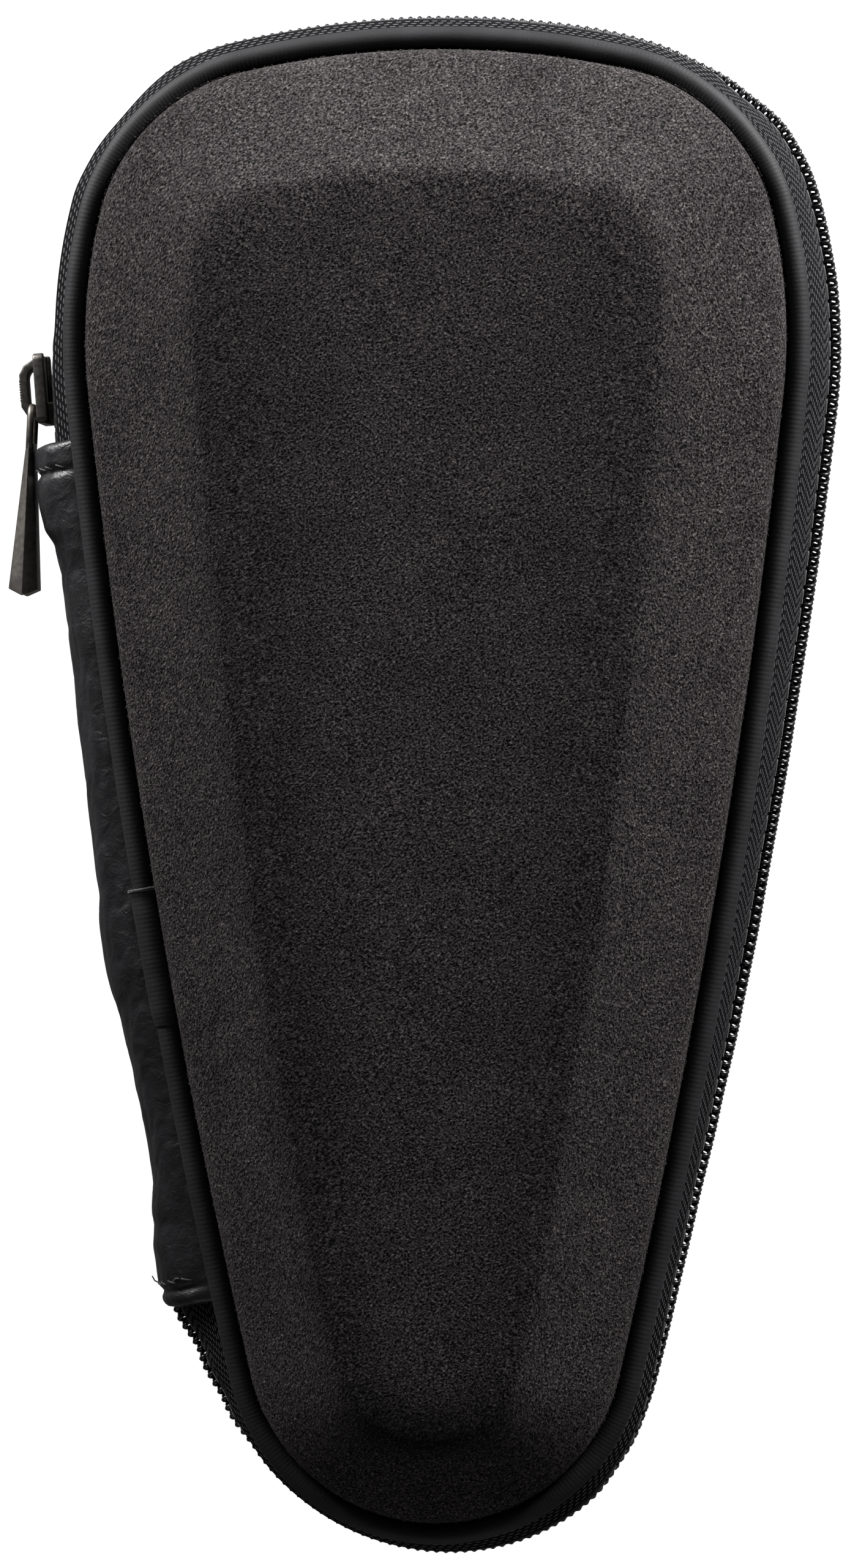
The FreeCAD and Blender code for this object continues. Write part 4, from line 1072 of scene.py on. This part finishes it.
def sliderFrame():
    # outward, along the chain and up, at the slider's middle
    radius = caseForm["rim"]["shoulder"] + caseForm["chainOut"]
    y = caseForm["rim"]["widest"] - radius * math.sin(math.radians(sliderForm["angle"]))
    station = stationAt(chainAt(y, shoulderArc))
    out = outwardAt(station)
    along = Vector((0, 0, 1)).cross(out)
    frameTurn = Matrix((out, along, Vector((0, 0, 1)))).transposed().to_4x4()
    return Matrix.Translation(placeOn(chainArcs, station, caseForm["parting"])) @ frameTurn


def makeSliderBody():
    startFresh()
    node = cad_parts["slider_body"]
    mesh = node.data.copy()
    obj = bpy.data.objects.new("sliderCasting", mesh)
    bpy.context.collection.objects.link(obj)
    workOn(obj)
    bpy.ops.object.mode_set(mode="EDIT")
    bpy.ops.mesh.select_all(action="SELECT")
    bpy.ops.mesh.remove_doubles(threshold=1e-6)
    bpy.ops.mesh.dissolve_limited(angle_limit=math.radians(1))
    bpy.ops.object.mode_set(mode="OBJECT")
    applyModifier(obj, "BEVEL", width=sliderForm["edge"] * mm, segments=3, limit_method="ANGLE",
                  angle_limit=math.radians(40))
    bpy.ops.object.shade_smooth_by_angle(angle=math.radians(35))
    dress(obj, sliderMetal, "slider", "slider_metal", "slider_body")


def makeBail(place):
    form = sliderForm["bail"]
    face, half, corner = sliderForm["plateFace"], form["length"] / 2, form["corner"]
    strap = form["strap"] / 2
    top = face + form["rise"] - strap
    side = half - strap
    bendRadius = corner - strap
    sunk, bends = form["sunk"], form["steps"]
    path = [(face - sunk + (top - bendRadius - face + sunk) * k / bends, -side) for k in range(bends + 1)]
    path += [(top - bendRadius + bendRadius * math.sin(t), -side + bendRadius * (1 - math.cos(t)))
             for t in (math.pi / 2 * k / bends for k in range(1, bends + 1))]
    leg = len(path)
    flat = 2 * (side - bendRadius)
    steps = 2 * round(flat / form["pitch"])
    path += [(top, -side + bendRadius + flat * k / steps) for k in range(1, steps)]
    path += [(x, -y) for x, y in reversed(path[:leg])]
    rings = []
    for i, (x, y) in enumerate(path):
        ax, ay = path[max(i - 1, 0)]
        bx, by = path[min(i + 1, len(path) - 1)]
        way = Vector((bx - ax, by - ay, 0)).normalized()
        out = way.cross(Vector((0, 0, 1)))
        knurl = form["knurl"] if i % 2 else -form["knurl"]
        ring = []
        for k in range(form["sides"]):
            t = 2 * math.pi * k / form["sides"]
            across = softened(math.sin(t), 0.5) * form["width"] / 2
            deep = softened(math.cos(t), 0.5) * strap
            if deep > 0:
                deep += knurl
            ring.append(place @ ((Vector((x, y, across)) + out * deep) * mm))
        rings.append(ring)
    bail = loftRings("sliderBail", rings)
    bpy.ops.object.shade_smooth_by_angle(angle=math.radians(40))
    closeEnds(bail)
    dress(bail, sliderMetal, "slider", "slider_metal", "slider_bail")


def makePuller(place):
    form = sliderForm["puller"]
    turned = place @ Matrix.Translation(Vector((*sliderForm["pin"], 0)) * mm) \
        @ Matrix.Rotation(-math.radians(sliderForm["lean"]), 4, "Z")
    length, half, roof = form["length"], form["half"], form["roof"]

    def section(along, share):
        # six-sided bar with a ridge on both faces; its end is a shallow point
        deep = form["thin"] + (form["thick"] - form["thin"]) * share
        short = form["tip"] * share
        shape = [(deep, half - roof, short), (0, half, 0), (-deep, half - roof, short),
                 (-deep, roof - half, short), (0, -half, 0), (deep, roof - half, short)]
        return [turned @ (Vector((x, along - back, z)) * mm) for x, z, back in shape]

    neck = form["neck"]
    steps = [k / 10 for k in range(11)]
    rings = [section(neck + (length - neck) * share, share) for share in steps]
    for ring, at in ((rings[0], 0), (rings[-1], len(rings) + 1)):
        rings.insert(at, [sum(ring, Vector()) / len(ring)] * len(ring))
    bar = loftRings("pullerBar", rings)
    sharp = math.radians(form["edgeAngle"])
    applyModifier(bar, "BEVEL", width=form["edge"] * mm, segments=2, limit_method="ANGLE", angle_limit=sharp)
    bpy.ops.object.shade_smooth_by_angle(angle=sharp)
    eye, wire = form["eye"], form["wire"]
    path = [(neck + 0.6, -eye), (3.2, -eye), (1.4, -eye), (0.55, -eye + 0.25), (0.1, -eye + 0.8), (0, -0.7)]
    path += [(y, -z) for y, z in reversed(path)]
    out = (turned.to_3x3() @ Vector((1, 0, 0))).normalized()
    places = [turned @ (Vector((0, y, z)) * mm) for y, z in path]
    loop = tubeAlong("pullerEye", places, wire * mm, sides=12, up=out)
    dress(joinPieces("zipPuller", [bar, loop]), pullerMetal, "puller", "puller_metal", "zip_puller")


sliderPlace = sliderFrame()
makeSliderBody()
makeBail(sliderPlace)
makePuller(sliderPlace)
print("slider and puller made")

# Inside: seam binding, padded pen board and the elastic band
insideForm = {
    "binding": {"out": -3.8, "width": 1.6, "rise": 9.05, "thickness": 0.7, "stations": 260,
                "sides": 10, "pitch": 3.1, "stitch": 2.3, "stitchRise": 0.1, "thread": 0.16},
    "pad": {"top": 6.7, "margin": 4.0, "stations": 200, "spine": (-67, 58), "sag": 0.12,
            "underFolds": (0, 0.4, 0.8), "topFolds": (0.9, 0.72, 0.52, 0.32, 0.14, 0),
            # inset from the pad's edge and height of its puffed side and stitched border, mm
            "side": [(0.7, 4.7), (0.15, 5.0), (0, 5.6), (0.3, 6.25), (0.9, 6.6), (1.9, 6.7), (2.6, 6.6),
                     (3.0, 6.2), (3.4, 6.6), (4.1, 6.7)]},
    "band": {"loops": (-18.6, 0, 18.6), "radius": 7.8, "foot": 7.3, "thickness": 1.2, "from": 33, "to": 55,
             "reach": 28.2, "rows": 14, "pinch": 0.3, "flat": 0.6, "loopSteps": 28,
             # stitches that hold it down: how far out the end rows are, pitch, count, length, rise and radius
             "tackOut": 0.9, "pitch": 2.3, "count": 9, "stitch": 1.8, "stitchRise": 0.12, "thread": 0.18},
}


def makeBinding(side, body):
    form = insideForm["binding"]
    stations = stationsRound(form["stations"])
    middle = ringPlaces(stations, 0, form["out"], caseForm["parting"] + side * form["rise"])
    rings = []
    for k in range(form["sides"]):
        t = 2 * math.pi * k / form["sides"]
        across = softened(math.cos(t), 0.5) * form["width"] / 2
        deep = softened(math.sin(t), 0.5) * form["thickness"] / 2
        rings.append([place + (outwardAt(station) * across + Vector((0, 0, deep))) * mm
                      for place, station in zip(middle, stations)])
    binding = loftRings(body + "SeamBinding", rings, tube=True)
    dress(binding, bindingKnit, body, "binding", body + "_seam_binding")
    face = caseForm["parting"] + side * (form["rise"] - form["thickness"] / 2)
    line = ringPlaces(stationsBetween(0, wholeChain * 0.999, 400), 0, form["out"], face)
    places = stitchPlaces(form["stitch"], -side * form["stitchRise"])
    stitch = tubeAlong(body + "BindingStitches", places, form["thread"] * mm, sides=5)
    repeatAlong(stitch, line, form["pitch"] * mm, int(lineLength(line) / mm / form["pitch"]))
    bpy.ops.object.shade_smooth()
    dress(stitch, stitchThread, body, "binding")


def makePad():
    form = insideForm["pad"]
    stations = stationsRound(form["stations"])
    rings = [ringPlaces(stations, 1, -form["margin"] - inset, height) for inset, height in form["side"]]
    border = rings[-1]
    rings = [foldIn(rings[0], fold, form["spine"]) for fold in form["underFolds"]] + rings
    for fold in form["topFolds"]:
        ring = foldIn(border, fold, form["spine"])
        for place in ring:
            place.z -= form["sag"] * mm * (0.5 + 0.5 * noise.noise(place * 60))
        rings.append(ring)
    pad = loftRings("penPad", rings)
    dress(pad, padKnit, "base", "pen_pad", "pen_pad")


def makeBand():
    form = insideForm["band"]
    radius, foot = form["radius"], form["foot"]
    padTop = insideForm["pad"]["top"]
    lift = math.asin((foot - padTop) / radius)
    path = [(-form["reach"], foot)]
    for middle in form["loops"]:
        path += [(middle - radius * math.cos(lift) - form["flat"], foot)]
        turns = [lift + (math.pi - 2 * lift) * k / form["loopSteps"] for k in range(form["loopSteps"] + 1)]
        path += [(middle - radius * math.cos(t), padTop + radius * math.sin(t)) for t in turns]
        path += [(middle + radius * math.cos(lift) + form["flat"], foot)]
    path += [(form["reach"], foot)]
    lengths = [0.0]
    for (ax, az), (bx, bz) in zip(path, path[1:]):
        lengths.append(lengths[-1] + math.hypot(bx - ax, bz - az) * mm)
    rows = form["rows"]
    rings, acrosses = [], []
    for k in range(rows):
        part = k / (rows - 1)
        y = form["from"] + (form["to"] - form["from"]) * part
        pinch = form["pinch"] * math.sin(math.pi * part)
        rings.append([Vector((x, y, z - pinch * max(0, z - foot) / radius)) * mm for x, z in path])
        acrosses.append((y - form["from"]) * mm)
    band = loftRings("elasticBand", rings, closed=False, attributes=(lengths, acrosses))
    applyModifier(band, "SOLIDIFY", thickness=form["thickness"] * mm, offset=0)
    dress(band, elastic, "base", "elastic", "pen_band")
    gaps = [(a + b) / 2 for a, b in zip(form["loops"], form["loops"][1:])]
    ends = [form["loops"][0] - radius - form["tackOut"], form["loops"][-1] + radius + form["tackOut"]]
    tacks = []
    for x in gaps + ends:
        places = stitchPlaces(form["stitch"], form["stitchRise"])
        row = tubeAlong("tack", places, form["thread"] * mm, sides=5)
        face = foot + form["thickness"] / 2
        line = [Vector((x, y, face)) * mm for y in range(form["from"] + 1, form["to"])]
        repeatAlong(row, line, form["pitch"] * mm, form["count"])
        bpy.ops.object.shade_smooth()
        tacks.append(row)
    dress(joinPieces("bandStitches", tacks), stitchThread, "base", "elastic")


for side, body in ((1, "lid"), (-1, "base")):
    makeBinding(side, body)
makePad()
makeBand()
print("inside made")

# Camera and light
viewForm = {
    "target": (-1.1, -0.2, 38),     # what the middle of the picture shows, mm
    "distance": 850,
    "aside": (60, 0),                # how far the camera stands to the right and towards the narrow end
    "field": 211.8,                  # height of the picture at the target
    "sensor": 36,
}


def makeCamera():
    target = Vector(viewForm["target"]) * mm
    aside = Vector((*viewForm["aside"], 0)) * mm
    distance = viewForm["distance"] * mm
    rise = math.sqrt(distance ** 2 - aside.length_squared)
    back = (aside + Vector((0, 0, rise))).normalized()
    right = Vector((0, 1, 0)).cross(back).normalized()
    up = back.cross(right)
    bpy.ops.object.camera_add()
    camera = bpy.context.object
    camera.matrix_world = Matrix((right, up, back)).transposed().to_4x4()
    camera.location = target + back * distance
    camera.data.sensor_width = viewForm["sensor"]
    camera.data.lens = viewForm["sensor"] * viewForm["distance"] / viewForm["field"]
    camera.data.clip_start, camera.data.clip_end = 0.01, 20
    bpy.context.scene.camera = camera


lightForm = {
    "world": 0.05,
    # place in metres, width and power of gridded lamps aimed at the wide end, and a weak one at the tip
    "lamps": {"key": ((0, 0.36, 0.12), 0.24, 0.02), "left": ((-0.3, 0.34, 0.115), 0.24, 0.64),
              "right": ((0.31, 0.36, 0.115), 0.24, 0.94), "tip": ((0, -0.45, 0.15), 0.24, 0.03)},
    "aim": (0, 0.08, 0.05),
    "spread": 70,
    "floor": 1.6,
    "floorGrey": 0.3,
    "floorGlow": 0.95,
}


def makeLights():
    for name, (place, size, power) in lightForm["lamps"].items():
        bpy.ops.object.light_add(type="AREA", location=place)
        lamp = bpy.context.object
        lamp.name = name
        lamp.data.shape = "DISK"
        lamp.data.size = size
        lamp.data.energy = power
        lamp.rotation_mode = "QUATERNION"
        lamp.rotation_quaternion = (Vector(place) - Vector(lightForm["aim"])).to_track_quat("Z", "Y")
        lamp.data.spread = math.radians(lightForm["spread"])
    world = bpy.data.worlds.new("studio")
    bpy.context.scene.world = world
    world.use_nodes = True
    tree = world.node_tree
    ground = tree.nodes["Background"]
    seen = addNode(tree, "LightPath")
    shown = addNode(tree, "Math", {"operation": "MAXIMUM"},
                    {0: seen.outputs["Is Camera Ray"], 1: seen.outputs["Is Transmission Ray"]})
    strength = addNode(tree, "MapRange", {}, {"Value": shown.outputs[0], "To Min": lightForm["world"],
                                                        "To Max": 1.0})
    tree.links.new(strength.outputs["Result"], ground.inputs["Strength"])
    ground.inputs["Color"].default_value = (1, 1, 1, 1)


def makeFloor():
    startFresh()
    bpy.ops.mesh.primitive_plane_add(size=lightForm["floor"], location=(0, 0, 0))
    floor = bpy.context.object
    floor.name = "floor"
    material, tree, shader = newMaterial("paleFloor", Roughness=0.8)
    shader.inputs["Base Color"].default_value = (*[lightForm["floorGrey"]] * 3, 1)
    shader.inputs["Emission Color"].default_value = (1, 1, 1, 1)
    seen = addNode(tree, "LightPath")
    glow = addNode(tree, "Math", {"operation": "MULTIPLY"},
                   {0: seen.outputs["Is Camera Ray"], 1: lightForm["floorGlow"]})
    tree.links.new(glow.outputs[0], shader.inputs["Emission Strength"])
    floor.data.materials.append(material)


makeCamera()
makeLights()
makeFloor()

bpy.context.scene.view_settings.view_transform = "Standard"
for node in ("lid_shell", "base_shell"):
    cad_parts[node].data.materials.clear()
    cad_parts[node].data.materials.append(foam)
